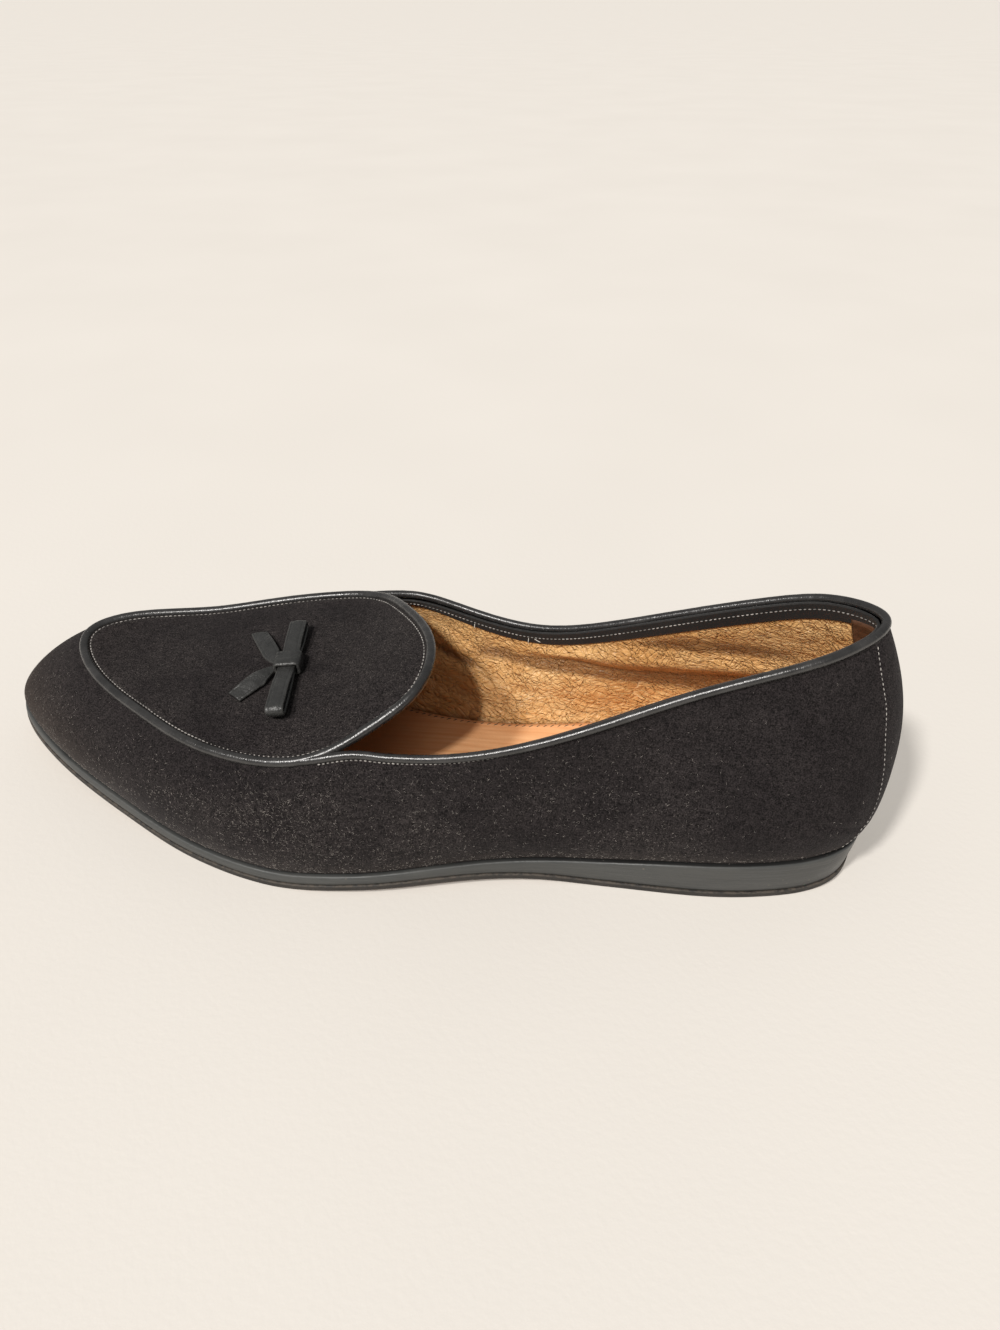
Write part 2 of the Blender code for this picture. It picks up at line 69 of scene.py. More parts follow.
STRAP_WIDTH = 5.4 * MM
STRAP = 1.0 * MM
INNER_LOOP = 19.5 * MM
OUTER_LOOP = 22.5 * MM
LOOP_HEIGHT = 3.6 * MM
LOOP_RISE = 0.45
KNOT_WIDTH = 6.6 * MM
INNER_TAIL = 19.0 * MM
INNER_TAIL_TURN = 62.0
OUTER_TAIL = 14.5 * MM
OUTER_TAIL_TURN = 43.0
INNER_TAIL_SLANT = -24.0
INNER_TAIL_ROLL = 8.0
OUTER_TAIL_SLANT = 6.0
OUTER_TAIL_ROLL = 20.0
BOW_AT = 0.621
BOW_ASIDE = 3.6 * MM
BOW_TURN = 9.0

# How finely the visible surfaces are cut
ROUND_COUNT = 576
WALL_COUNT = 64
APRON_COUNT = 320
ACROSS_COUNT = 72

# One row for each section of the upper, heel to toe, as shares of LENGTH, BALL_WIDTH and
# COLLAR_HEIGHT: the feather line, the piping's line, and the wall's lean in degrees at each of them.
Section = namedtuple("Section", "at out inn rim_at rim_out rim_in up_out up_in flare swell fall reach")
SECTIONS = [
    Section(0.007, 0.000, 0.000, 0.031, 0.000, 0.000, 1.000, 1.000, 26, 0.36, 62, 0.39),
    Section(0.022, 0.190, -0.189, 0.064, 0.124, -0.133, 0.970, 0.970, 30, 0.36, 76, 0.37),
    Section(0.074, 0.292, -0.297, 0.118, 0.196, -0.200, 0.923, 0.902, 30, 0.35, 84, 0.36),
    Section(0.166, 0.346, -0.344, 0.202, 0.241, -0.243, 0.820, 0.787, 28, 0.34, 89, 0.37),
    Section(0.275, 0.350, -0.326, 0.285, 0.292, -0.276, 0.700, 0.673, 27, 0.35, 89, 0.39),
    Section(0.385, 0.391, -0.280, 0.368, 0.345, -0.324, 0.607, 0.590, 25, 0.39, 81, 0.39),
    Section(0.494, 0.484, -0.305, 0.450, 0.385, -0.379, 0.570, 0.603, 22, 0.36, 70, 0.38),
    Section(0.604, 0.509, -0.412, 0.510, 0.388, -0.396, 0.572, 0.643, 22, 0.31, 55, 0.36),
    Section(0.708, 0.434, -0.497, 0.577, 0.416, -0.416, 0.523, 0.608, 22, 0.30, 45, 0.35),
    Section(0.804, 0.309, -0.498, 0.677, 0.379, -0.387, 0.500, 0.565, 22, 0.30, 38, 0.36),
    Section(0.891, 0.174, -0.436, 0.762, 0.253, -0.317, 0.500, 0.535, 21, 0.27, 32, 0.37),
    Section(0.963, 0.020, -0.328, 0.844, 0.089, -0.239, 0.507, 0.540, 18, 0.25, 29, 0.42),
    Section(0.993, -0.141, -0.141, 0.887, -0.104, -0.104, 0.530, 0.530, 16, 0.20, 26, 0.47),
]
SEAM_START = 8
ROWS_AROUND = 2 * len(SECTIONS) - 2

# The tongue's free edge, from the outer end of the seam to the inner one
Edge = namedtuple("Edge", "at side up")
TONGUE = [
    Edge(0.511, 0.322, 0.605),
    Edge(0.467, 0.198, 0.700),
    Edge(0.470, -0.022, 0.730),
    Edge(0.515, -0.245, 0.690),
]

# The sole along its length: shares of TOE_SPRING, ARCH_RISE and HEEL_RISE, and of the wedge
Ground = namedtuple("Ground", "at toe arch back stack")
SOLE_LINE = [
    Ground(0.000, 0.00, 0.00, 1.00, 1.00),
    Ground(0.025, 0.00, 0.00, 0.36, 1.00),
    Ground(0.080, 0.00, 0.00, 0.00, 0.98),
    Ground(0.170, 0.00, 0.00, 0.00, 0.90),
    Ground(0.260, 0.00, 0.00, 0.00, 0.60),
    Ground(0.350, 0.00, 0.70, 0.00, 0.23),
    Ground(0.430, 0.00, 1.00, 0.00, 0.06),
    Ground(0.520, 0.00, 0.70, 0.00, 0.00),
    Ground(0.620, 0.00, 0.00, 0.00, 0.00),
    Ground(0.710, 0.00, 0.00, 0.00, 0.00),
    Ground(0.800, 0.23, 0.00, 0.00, 0.00),
    Ground(0.890, 0.53, 0.00, 0.00, 0.00),
    Ground(1.000, 1.00, 0.00, 0.00, 0.00),
]


# Lines and surfaces


def cubic(t, start, end, leave, arrive):
    """The way from start to end at shares t of it, with these slopes at its two ends."""
    return (
        (2 * t**3 - 3 * t**2 + 1) * start
        + (t**3 - 2 * t**2 + t) * leave
        + (3 * t**2 - 2 * t**3) * end
        + (t**3 - t**2) * arrive
    )


def closed_spline(points, count):
    """Count points, evenly spread, on the smooth closed curve through the given points."""
    p = np.asarray(points, float)
    n = len(p)
    system = 4.0 * np.eye(n) + np.roll(np.eye(n), 1, 0) + np.roll(np.eye(n), -1, 0)
    slope = np.linalg.solve(system, 3.0 * (np.roll(p, -1, 0) - np.roll(p, 1, 0)))
    place = np.arange(count) * n / count
    a = np.floor(place).astype(int) % n
    b = (a + 1) % n
    return cubic((place - np.floor(place))[:, None], p[a], p[b], slope[a], slope[b])


def eased(places, values, x):
    """A smooth curve through the values that never overshoots them."""
    places = np.asarray(places, float)
    values = np.asarray(values, float)
    steps = np.diff(places)
    grades = np.diff(values) / steps
    slopes = np.zeros(len(places))
    for i in range(1, len(places) - 1):
        if grades[i - 1] * grades[i] > 0:
            slopes[i] = 2.0 * grades[i - 1] * grades[i] / (grades[i - 1] + grades[i])
    slopes[-1] = grades[-1]
    x = np.clip(np.asarray(x, float), places[0], places[-1])
    i = np.clip(np.searchsorted(places, x, side="right") - 1, 0, len(steps) - 1)
    t = (x - places[i]) / steps[i]
    return cubic(t, values[i], values[i + 1], steps[i] * slopes[i], steps[i] * slopes[i + 1])


def smooth(low, high, value):
    """0 below low, 1 above high, and a soft step between them."""
    t = np.clip((np.asarray(value, float) - low) / (high - low), 0.0, 1.0)
    return t * t * (3.0 - 2.0 * t)


def sole_line(column, x):
    return eased([row.at * LENGTH for row in SOLE_LINE], [getattr(row, column) for row in SOLE_LINE], x)


def ground(x):
    toe = TOE_SPRING * sole_line("toe", x)
    arch = ARCH_RISE * sole_line("arch", x)
    back = HEEL_RISE * sole_line("back", x)
    return toe + arch + back


def midsole_bottom(x):
    return ground(x) + OUTSOLE + GAP


def midsole_top(x):
    return midsole_bottom(x) + FORE_STACK + (HEEL_STACK - FORE_STACK) * sole_line("stack", x)


def bell(away, width):
    """1 at no distance, and softly down to 0 past the width."""
    return np.exp(-((away / width) ** 2))


def unit(vectors):
    return vectors / np.linalg.norm(vectors, axis=-1, keepdims=True)


def outward(loop):
    """The level direction away from the shoe at each point of a loop."""
    along = np.roll(loop, -1, 0) - np.roll(loop, 1, 0)
    return unit(np.stack([-along[:, 1], along[:, 0], np.zeros(len(loop))], 1))


def upper_lines():
    """The wall's lower line, its upper line, and how it leans and swells at both."""

    def line_row(row, out, rim_out, up):
        lower = [row.at * LENGTH, out * BALL_WIDTH, 0.0]
        rim = [row.rim_at * LENGTH, rim_out * BALL_WIDTH, up * COLLAR_HEIGHT]
        return lower + rim + [row.flare, row.swell, row.fall, row.reach]

    outer = [line_row(row, row.out, row.rim_out, row.up_out) for row in SECTIONS]
    inner = [line_row(row, row.inn, row.rim_in, row.up_in) for row in SECTIONS]
    lines = closed_spline(outer + inner[-2:0:-1], ROUND_COUNT)
    feather = lines[:, 0:3]
    feather[:, 2] = midsole_top(feather[:, 0]) + GAP
    return feather, lines[:, 3:6], lines[:, 6:10]


def apron_loop():
    seam_out = []
    seam_in = []
    for row in SECTIONS[SEAM_START:]:
        x = row.rim_at * LENGTH
        seam_out.append((x, row.rim_out * BALL_WIDTH, row.up_out * COLLAR_HEIGHT))
        seam_in.append((x, row.rim_in * BALL_WIDTH, row.up_in * COLLAR_HEIGHT))
    tongue = [(e.at * LENGTH, e.side * BALL_WIDTH, e.up * COLLAR_HEIGHT) for e in TONGUE]
    return closed_spline(seam_in[::-1] + tongue[::-1] + seam_out[:-1], APRON_COUNT)


TOPLINE_DROP = 1.5 * MM  # lower than the solids' rim there
FEATHER, RIM, FORM = upper_lines()
APRON_LINE = apron_loop()
ROW = np.arange(ROUND_COUNT) * ROWS_AROUND / ROUND_COUNT  # each section's place among the rows
BACK_AWAY = np.minimum(ROW, ROWS_AROUND - ROW)  # rows away from the back of the heel
RIM[:, 2] -= TOPLINE_DROP * bell(ROW - 6.7, 0.5)  # the outer topline runs level in under the apron
SHIFT = np.zeros(3)
UP = np.array((0.0, 0.0, 1.0))


def wall_grid(low_trim, high_trim, rows):
    """The outer face of the wall. Both trims are lengths off its lower and upper edge."""
    flare = np.radians(FORM[:, 0:1])
    fall = np.radians(FORM[:, 2:3])
    height = np.linalg.norm(RIM - FEATHER, axis=1)[:, None]
    leave = outward(FEATHER) * np.sin(flare) + UP * np.cos(flare)
    arrive = -outward(RIM) * np.cos(fall) + UP * np.sin(fall)
    low = FEATHER + leave * height * FORM[:, 1:2]
    high = RIM - arrive * height * FORM[:, 3:4]
    first = low_trim / (3.0 * height * FORM[:, 1:2])
    last = 1.0 - high_trim / (3.0 * height * FORM[:, 3:4])
    grid = []
    for share in np.linspace(0.0, 1.0, rows):
        t = first + (last - first) * share
        point = (1 - t) ** 3 * FEATHER + 3 * (1 - t) ** 2 * t * low
        grid.append(point + 3 * (1 - t) * t**2 * high + t**3 * RIM)
    return np.array(grid)


def ring_normals(grid):
    along = np.roll(grid, -1, 1) - np.roll(grid, 1, 1)
    return unit(np.cross(np.gradient(grid, axis=0), along))


def apron_grid(inset, rows=ACROSS_COUNT):
    """The apron's top: toe point, rows across from the toe to the tongue's tip, tip point."""
    edge = APRON_LINE - outward(APRON_LINE) * inset
    half = APRON_COUNT // 2
    share = np.linspace(0.0, 1.0, rows + 1)[:, None]
    grid = []
    for i in range(1, half):
        inner = edge[i]
        outer = edge[APRON_COUNT - i]
        row = outer + (inner - outer) * share
        row[:, 2:3] += APRON_CROWN * np.linalg.norm(outer - inner) * 4.0 * share * (1.0 - share)
        grid.append(row)
    return edge[0], np.array(grid), edge[half]


def lengths_along(points):
    """How far along the line each point lies."""
    steps = np.linalg.norm(np.diff(points, axis=0), axis=1)
    return np.concatenate([[0.0], np.cumsum(steps)])


# Meshes


def add_mesh(name, points, faces, material, spread=None, marks=None):
    """A piece from points and faces, with its own flat coordinates and named values on its points."""
    mesh = bpy.data.meshes.new(name)
    place = np.asarray(points, float).reshape(-1, 3) + SHIFT
    mesh.from_pydata(place.tolist(), [], faces)
    form = bmesh.new()
    form.from_mesh(mesh)
    bmesh.ops.recalc_face_normals(form, faces=form.faces)
    form.to_mesh(mesh)
    form.free()
    for mark, values in (marks or {}).items():
        layer = mesh.attributes.new(mark, "FLOAT", "POINT")
        layer.data.foreach_set("value", np.asarray(values, np.float32).ravel())
    if spread is not None:
        layer = mesh.attributes.new("spread", "FLOAT_VECTOR", "POINT")
        layer.data.foreach_set("vector", np.asarray(spread, np.float32).ravel())
    mesh.shade_smooth()
    mesh.materials.append(material)
    piece = bpy.data.objects.new(name, mesh)
    bpy.context.scene.collection.objects.link(piece)
    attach(piece, "root")
    return piece


def grid_faces(rows, count, closed_rows=False, closed_count=True):
    faces = []
    for row in range(rows if closed_rows else rows - 1):
        below = row * count
        above = (row + 1) % rows * count
        for i in range(count if closed_count else count - 1):
            j = (i + 1) % count
            faces.append((below + i, below + j, above + j, above + i))
    return faces


def end_faces(rows, count):
    """The two faces that close a tube of so many rings."""
    last = (rows - 1) * count
    return [tuple(range(count)), tuple(last + i for i in reversed(range(count)))]


def lid_faces(start, count):
    """Faces across a ring, in strips from its first point to the one opposite."""
    half = count // 2
    faces = [(start, start + 1, start + count - 1)]
    for i in range(1, half - 1):
        faces.append((start + i, start + i + 1, start + count - i - 1, start + count - i))
    faces.append((start + half - 1, start + half, start + half + 1))
    return faces


def add_tube(name, path, closed, radius, sides, material):
    """A round tube along a path. radius: one length, or one for each ring and side."""
    along = np.roll(path, -1, 0) - np.roll(path, 1, 0) if closed else np.gradient(path, axis=0)
    along = unit(along)
    side = unit(np.cross(along, UP))
    up = np.cross(side, along)
    count = len(path)
    angle = np.linspace(0.0, 2.0 * math.pi, sides, endpoint=False)
    ring = side[:, None] * np.cos(angle)[None, :, None] + up[:, None] * np.sin(angle)[None, :, None]
    points = path[:, None] + ring * np.broadcast_to(radius, (count, sides))[:, :, None]
    faces = grid_faces(count, sides, closed)
    if not closed:
        faces += end_faces(count, sides)
    run = np.repeat(lengths_along(path)[:, None], sides, 1)
    turn = np.repeat(angle[None] * PIPING / 2, count, 0)
    return add_mesh(name, points, faces, material, np.stack([run, turn, np.zeros_like(run)], 2))


def resampled(step, *lines):
    """The lines' points at equal steps along the first of them."""
    run = lengths_along(lines[0])
    count = max(2, int(round(run[-1] / step)) + 1)
    places = np.linspace(0.0, run[-1], count)
    return [np.stack([np.interp(places, run, line[:, k]) for k in range(3)], 1) for line in lines]


THREAD_SIDES = 6
THREAD_RINGS = ((-1.0, 0.15), (-0.72, 0.8), (0.0, 1.0), (0.72, 0.8), (1.0, 0.15))  # place and width


def add_stitches(name, line, normals, pitch, length, thick, material, slant=0.0):
    """One mesh of small threads, laid end to end along a line."""
    spots, ups = resampled(pitch, line, normals)
    points = []
    faces = []
    chance = np.random.default_rng(len(spots))
    rings = grid_faces(len(THREAD_RINGS), THREAD_SIDES) + end_faces(len(THREAD_RINGS), THREAD_SIDES)
    for spot, up, ahead in zip(spots, ups, unit(np.gradient(spots, axis=0))):
        side = unit(np.cross(up, ahead))
        lean = math.radians(slant) + chance.normal(0.0, 0.07)
        aim = ahead * math.cos(lean) + side * math.sin(lean)
        side = np.cross(up, aim)
        long = length * chance.uniform(0.85, 1.08)
        base = len(points)
        for share, width in THREAD_RINGS:
            middle = spot + aim * long / 2 * share - up * thick * 0.45 * share**2
            for k in range(THREAD_SIDES):
                turn = 2.0 * math.pi * k / THREAD_SIDES
                out = side * math.cos(turn) * thick + up * math.sin(turn) * thick
                points.append(middle + out * width / 2)
        faces += [tuple(base + corner for corner in face) for face in rings]
    return add_mesh(name, points, faces, material)


# Materials


class Paint:
    """A material whose nodes are added one call at a time."""

    def __init__(self, name, **sockets):
        self.material = bpy.data.materials.new(name)
        self.material.use_nodes = True
        self.tree = self.material.node_tree
        self.surface = self.tree.nodes["Principled BSDF"]
        self.place = self.node("ShaderNodeTexCoord", {}).outputs["Object"]
        for socket, value in sockets.items():
            self.surface.inputs[socket.replace("_", " ")].default_value = value

    def node(self, kind, inputs, **settings):
        node = self.tree.nodes.new(kind)
        for key, value in settings.items():
            setattr(node, key, value)
        for socket, value in inputs.items():
            self.give(node.inputs[socket], value)
        return node

    def give(self, socket, value):
        """A socket takes another node's output or a plain value."""
        if isinstance(value, bpy.types.NodeSocket):
            self.tree.links.new(value, socket)
        else:
            socket.default_value = value

    def mark(self, name, output="Fac"):
        return self.node("ShaderNodeAttribute", {}, attribute_name=name).outputs[output]

    def scaled(self, vector, scale, turn=0.0):
        """The vector turned by some degrees about z, then scaled, so that long marks lie at the turn."""
        inputs = {"Vector": vector, "Rotation": (0.0, 0.0, math.radians(turn))}
        turned = self.node("ShaderNodeMapping", inputs).outputs["Vector"]
        return self.node("ShaderNodeMapping", {"Vector": turned, "Scale": scale}).outputs["Vector"]

    def noise(self, scale, detail=3.0, rough=0.55, twist=0.0, vector=None):
        inputs = {"Scale": scale, "Detail": detail, "Roughness": rough, "Distortion": twist}
        inputs["Vector"] = self.place if vector is None else vector
        return self.node("ShaderNodeTexNoise", inputs).outputs["Fac"]

    def streaks(self, vector, scale, detail=3.0, rough=0.55, turn=0.0):
        """Noise drawn out by a scale for each axis."""
        return self.noise(1.0, detail, rough, vector=self.scaled(vector, scale, turn))

    def cells(self, scale, feature="F1", vector=None):
        inputs = {"Vector": self.place if vector is None else vector, "Scale": scale}
        return self.node("ShaderNodeTexVoronoi", inputs, feature=feature).outputs["Distance"]

    def ramp(self, value, low, high, start=0.0, end=1.0):
        inputs = {"Value": value, "From Min": low, "From Max": high, "To Min": start, "To Max": end}
        return self.node("ShaderNodeMapRange", inputs).outputs["Result"]

    def times(self, a, b, operation="MULTIPLY"):
        return self.node("ShaderNodeMath", {0: a, 1: b}, operation=operation).outputs[0]

    def plus(self, a, b):
        return self.times(a, b, "ADD")

    def larger(self, a, b):
        return self.times(a, b, "MAXIMUM")

    def mixed(self, share, a, b):
        node = self.node("ShaderNodeMix", {0: share}, data_type="RGBA")
        for socket, value in ((6, a), (7, b)):
            if not isinstance(value, bpy.types.NodeSocket):
                value = (*value, 1.0)
            self.give(node.inputs[socket], value)
        return node.outputs[2]

    def warped(self, vector, scale, amount):
        """The vector pushed aside by a noise of its own, in the vector's units."""
        inputs = {"Vector": vector, "Scale": scale, "Detail": 2.0}
        push = self.node("ShaderNodeTexNoise", inputs).outputs["Color"]
        inputs = {0: push, 1: (amount, amount, amount), 2: vector}
        return self.node("ShaderNodeVectorMath", inputs, operation="MULTIPLY_ADD").outputs[0]

    def finished(self, colour, rough, *layers):
        """The material itself. layers: bumps on each other, each a height and how many metres it spans."""
        self.give(self.surface.inputs["Base Color"], colour)
        self.give(self.surface.inputs["Roughness"], rough)
        bump = {}
        for height, depth in layers:
            bump = self.node("ShaderNodeBump", {"Height": height, "Distance": depth, **bump})
            bump = {"Normal": bump.outputs["Normal"]}
        self.give(self.surface.inputs["Normal"], bump["Normal"])
        return self.material


def suede_paint():
    paint = Paint("charcoal_suede", Sheen_Weight=0.05, Sheen_Roughness=0.4, Sheen_Tint=(0.9, 0.84, 0.84, 1.0),
                  Specular_IOR_Level=0.12)
    clouds = paint.noise(42.0, 4.0, 0.6, 0.6)
    nap = paint.noise(520.0, 3.0, 0.65)
    grain = paint.noise(2600.0, 2.0, 0.7)
    upright = paint.streaks(paint.place, (1700.0, 1700.0, 260.0), 2.0)
    level = paint.streaks(paint.place, (260.0, 1700.0, 1700.0), 2.0)
    patches = paint.ramp(clouds, 0.3, 0.7)
    dark = paint.mixed(patches, (0.0028, 0.0023, 0.0024), (0.0046, 0.0038, 0.0039))
    light = paint.mixed(patches, (0.0270, 0.0225, 0.0234), (0.0400, 0.0335, 0.0340))
    brown = paint.mark("brown")
    dark = paint.mixed(paint.times(brown, 0.6), dark, (0.024, 0.0175, 0.0145))
    light = paint.mixed(brown, light, (0.070, 0.053, 0.043))
    # The dust_and_sheen mark pales the suede: dust and lint on the walls and along the apron's seam, and
    # painted sheen in two patches on the apron.
    dust_and_sheen = paint.times(paint.mark("dust_and_sheen"), paint.ramp(clouds, 0.34, 0.62, 0.2, 1.0))
    light = paint.mixed(paint.times(dust_and_sheen, 0.42), light, (0.078, 0.068, 0.063))
    fibres = paint.plus(paint.times(nap, 0.18), paint.times(grain, 0.82))
    fibres = paint.plus(fibres, paint.times(paint.larger(upright, level), 0.35))
    colour = paint.mixed(paint.ramp(fibres, 0.58, 0.84), dark, light)
    points = paint.ramp(paint.cells(1900.0), 0.30, 0.12)
    specks = paint.times(points, paint.ramp(paint.noise(1100.0, 1.0), 0.52, 0.62))
    much = paint.plus(paint.times(dust_and_sheen, 0.7), 0.10)
    colour = paint.mixed(paint.times(specks, much), colour, (0.26, 0.23, 0.205))
    rough = paint.ramp(nap, 0.2, 0.8, 0.82, 1.0)
    return paint.finished(colour, rough, (clouds, 0.0006), (nap, 0.00024), (grain, 0.00020))


def piping_paint():
    paint = Paint("dark_grey_leather", Specular_IOR_Level=0.7)
    spread = paint.warped(paint.mark("spread", "Vector"), 300.0, 0.0012)
    folds = paint.streaks(spread, (620.0, 120.0, 1.0), 4.0, 0.6)
    fine = paint.streaks(spread, (2300.0, 500.0, 1.0), 3.0, 0.6)
    wide = paint.noise(160.0)
    colour = paint.mixed(paint.ramp(wide, 0.35, 0.7), (0.0160, 0.0152, 0.0149), (0.0336, 0.03192, 0.03129))
    worn = paint.times(paint.ramp(fine, 0.60, 0.74), paint.ramp(wide, 0.35, 0.6))
    colour = paint.mixed(paint.times(worn, 0.5), colour, (0.11, 0.105, 0.10))
    rough = paint.ramp(folds, 0.3, 0.7, 0.22, 0.35)
    pores = paint.noise(1500.0, 2.0, 0.5)
    return paint.finished(colour, rough, (folds, 0.00016), (fine, 0.00005), (pores, 0.00002))


def strap_paint():
    paint = Paint("bow_leather")
    grain = paint.noise(1100.0, 3.0, 0.65)
    wide = paint.noise(230.0, 4.0, 0.65)
    colour = paint.mixed(paint.ramp(wide, 0.3, 0.7), (0.0185, 0.0185, 0.0178), (0.034, 0.0338, 0.0325))
    edge = paint.times(paint.mark("edge"), paint.ramp(grain, 0.35, 0.6))
    colour = paint.mixed(paint.times(edge, 0.6), colour, (0.085, 0.083, 0.078))
    return paint.finished(colour, paint.ramp(wide, 0.3, 0.7, 0.31, 0.42), (wide, 0.00060), (grain, 0.00016))


def lining_paint():
    paint = Paint("tan_lining_leather", Coat_Weight=0.18, Coat_Roughness=0.28)
    bent = paint.warped(paint.warped(paint.mark("spread", "Vector"), 40.0, 0.012), 260.0, 0.0016)

    def net(scale, turn, width):
        edges = paint.cells(1.0, "DISTANCE_TO_EDGE", paint.scaled(bent, scale, turn))
        return paint.ramp(edges, 0.0, width)

    waves = paint.streaks(bent, (70.0, 230.0, 1.0), 3.0, 0.55, 24.0)
    wrinkles = net((240.0, 620.0, 1.0), 34.0, 0.16)
    crossing = net((260.0, 560.0, 1.0), -26.0, 0.12)
    fine = net((900.0, 1300.0, 1.0), 10.0, 0.16)
    hatches = [paint.streaks(bent, (60.0, 1000.0, 1.0), 2.0, 0.5, turn) for turn in (42.0, -38.0)]
    wide = paint.noise(38.0, 4.0, 0.6, 0.5)
    colour = paint.mixed(paint.ramp(wide, 0.30, 0.68), (0.68, 0.350, 0.112), (0.92, 0.590, 0.262))
    much = paint.ramp(paint.noise(70.0, 2.0), 0.38, 0.62, 0.15, 1.0)
    scratches = paint.times(paint.mark("scratched"), paint.ramp(paint.larger(*hatches), 0.62, 0.72))
    # Painted shade: the darker tones in the troughs of the waves and along the lines of the wrinkle nets
    # stand for shade in the folds. The pale scratches are the leather's own wear, and the shade mark is
    # painted shade in the deep creases and at the lining's foot.
    for share, tone in (
        (paint.ramp(waves, 0.50, 0.30, 0.0, 0.35), (0.50, 0.215, 0.055)),
        (paint.times(paint.ramp(wrinkles, 0.8, 0.0, 0.0, 0.40), much), (0.40, 0.160, 0.036)),
        (paint.ramp(crossing, 0.8, 0.0, 0.0, 0.26), (0.42, 0.175, 0.042)),
        (paint.ramp(fine, 0.7, 0.0, 0.0, 0.16), (0.45, 0.200, 0.055)),
        (paint.times(scratches, 0.6), (0.95, 0.76, 0.48)),
        (paint.mark("shade"), (0.17, 0.065, 0.018)),
    ):
        colour = paint.mixed(share, colour, tone)
    rough = paint.ramp(waves, 0.3, 0.7, 0.50, 0.36)
    folds = ((waves, 0.0024), (wrinkles, 0.00032), (crossing, 0.00016), (fine, 0.00007))
    return paint.finished(colour, rough, *folds)


def insole_paint():
    paint = Paint("terracotta_insole_leather", Coat_Weight=0.05, Coat_Roughness=0.35)
    lines = paint.streaks(paint.warped(paint.place, 30.0, 0.002), (28.0, 900.0, 200.0), 4.0, 0.6)
    wide = paint.noise(55.0)
    colour = paint.mixed(paint.ramp(lines, 0.3, 0.7), (0.76, 0.365, 0.158), (0.92, 0.530, 0.270))
    colour = paint.mixed(paint.ramp(wide, 0.40, 0.75, 0.0, 0.4), colour, (0.64, 0.280, 0.112))
    colour = paint.mixed(paint.mark("shade"), colour, (0.22, 0.085, 0.028))
    rough = paint.ramp(wide, 0.3, 0.7, 0.42, 0.56)
    return paint.finished(colour, rough, (lines, 0.00016), (paint.noise(1600.0, 2.0), 0.00006))


def facing_paint():
    paint = Paint("dark_facing_leather", Sheen_Weight=0.08)
    grain = paint.noise(1500.0, 3.0, 0.6)
    wide = paint.noise(120.0)
    colour = paint.mixed(paint.ramp(wide, 0.3, 0.7), (0.0045, 0.0038, 0.0035), (0.0105, 0.0088, 0.0080))
    return paint.finished(colour, paint.ramp(grain, 0.3, 0.7, 0.62, 0.8), (wide, 0.0004), (grain, 0.00015))


def heel_patch_paint():
    paint = Paint("brown_heel_leather")
    grain = paint.noise(1300.0, 3.0, 0.6)
    wide = paint.noise(150.0, 4.0, 0.6, 0.6)
    colour = paint.mixed(paint.ramp(wide, 0.35, 0.7), (0.050, 0.020, 0.010), (0.15, 0.066, 0.030))
    return paint.finished(colour, paint.ramp(wide, 0.3, 0.7, 0.42, 0.62), (wide, 0.0006), (grain, 0.00012))


def edge_paint():
    paint = Paint("painted_sole_edge")
    brushed = paint.streaks(paint.place, (55.0, 55.0, 1500.0), 4.0, 0.6)
    wide = paint.noise(70.0, 4.0, 0.6)
    colour = paint.mixed(paint.ramp(brushed, 0.3, 0.7), (0.040, 0.0415, 0.0405), (0.062, 0.064, 0.062))
    colour = paint.mixed(paint.ramp(wide, 0.45, 0.75, 0.0, 0.5), colour, (0.078, 0.077, 0.071))
    # Painted shade: the dark mark turns the wedge's top face near black, and towards the heel its rounded top
    # edge too, as the shadow under the overhanging suede; the wedge's foot is also darkened.
    colour = paint.mixed(paint.mark("dark"), colour, (0.008, 0.008, 0.008))
    chosen = paint.ramp(paint.noise(260.0, 1.0), 0.60, 0.66)
    chips = paint.times(paint.ramp(paint.cells(420.0), 0.16, 0.08), chosen)
    colour = paint.mixed(chips, colour, (0.14, 0.125, 0.105))
    rough = paint.ramp(wide, 0.3, 0.7, 0.42, 0.60)
    grain = paint.noise(900.0, 2.0)
    return paint.finished(colour, rough, (brushed, 0.00010), (wide, 0.0003), (grain, 0.00008))


def outsole_paint():
    paint = Paint("leather_outsole")
    wide = paint.noise(65.0, 4.0, 0.6)
    fine = paint.noise(700.0, 3.0, 0.6)
    colour = paint.mixed(paint.ramp(wide, 0.3, 0.7), (0.012, 0.011, 0.0105), (0.034, 0.029, 0.025))
    worn = paint.times(paint.mark("worn"), paint.ramp(fine, 0.40, 0.58))
    colour = paint.mixed(paint.times(worn, 0.5), colour, (0.13, 0.105, 0.080))
    under = paint.times(paint.mark("under"), paint.ramp(wide, 0.25, 0.6, 0.45, 1.0))
    colour = paint.mixed(under, colour, (0.17, 0.105, 0.055))
    return paint.finished(colour, paint.ramp(fine, 0.3, 0.7, 0.55, 0.75), (wide, 0.0003), (fine, 0.00015))


def thread_paint(name, dark, light):
    paint = Paint(name, Sheen_Weight=0.15)
    shade = paint.noise(260.0, 2.0)
    colour = paint.mixed(paint.ramp(shade, 0.35, 0.65), dark, light)
    return paint.finished(colour, paint.ramp(shade, 0.3, 0.7, 0.6, 0.8), (paint.noise(4000.0, 1.0), 0.00005))


def floor_paint():
    paint = Paint("pale_floor")
    wide = paint.noise(6.0, 2.0)
    colour = paint.mixed(paint.ramp(wide, 0.3, 0.7), (0.755, 0.715, 0.665), (0.775, 0.735, 0.685))
    return paint.finished(colour, 0.85, (paint.noise(500.0), 0.00006))


# The upper


Crease = namedtuple("Crease", "path depth width")
Dent = namedtuple("Dent", "row up wide high depth")

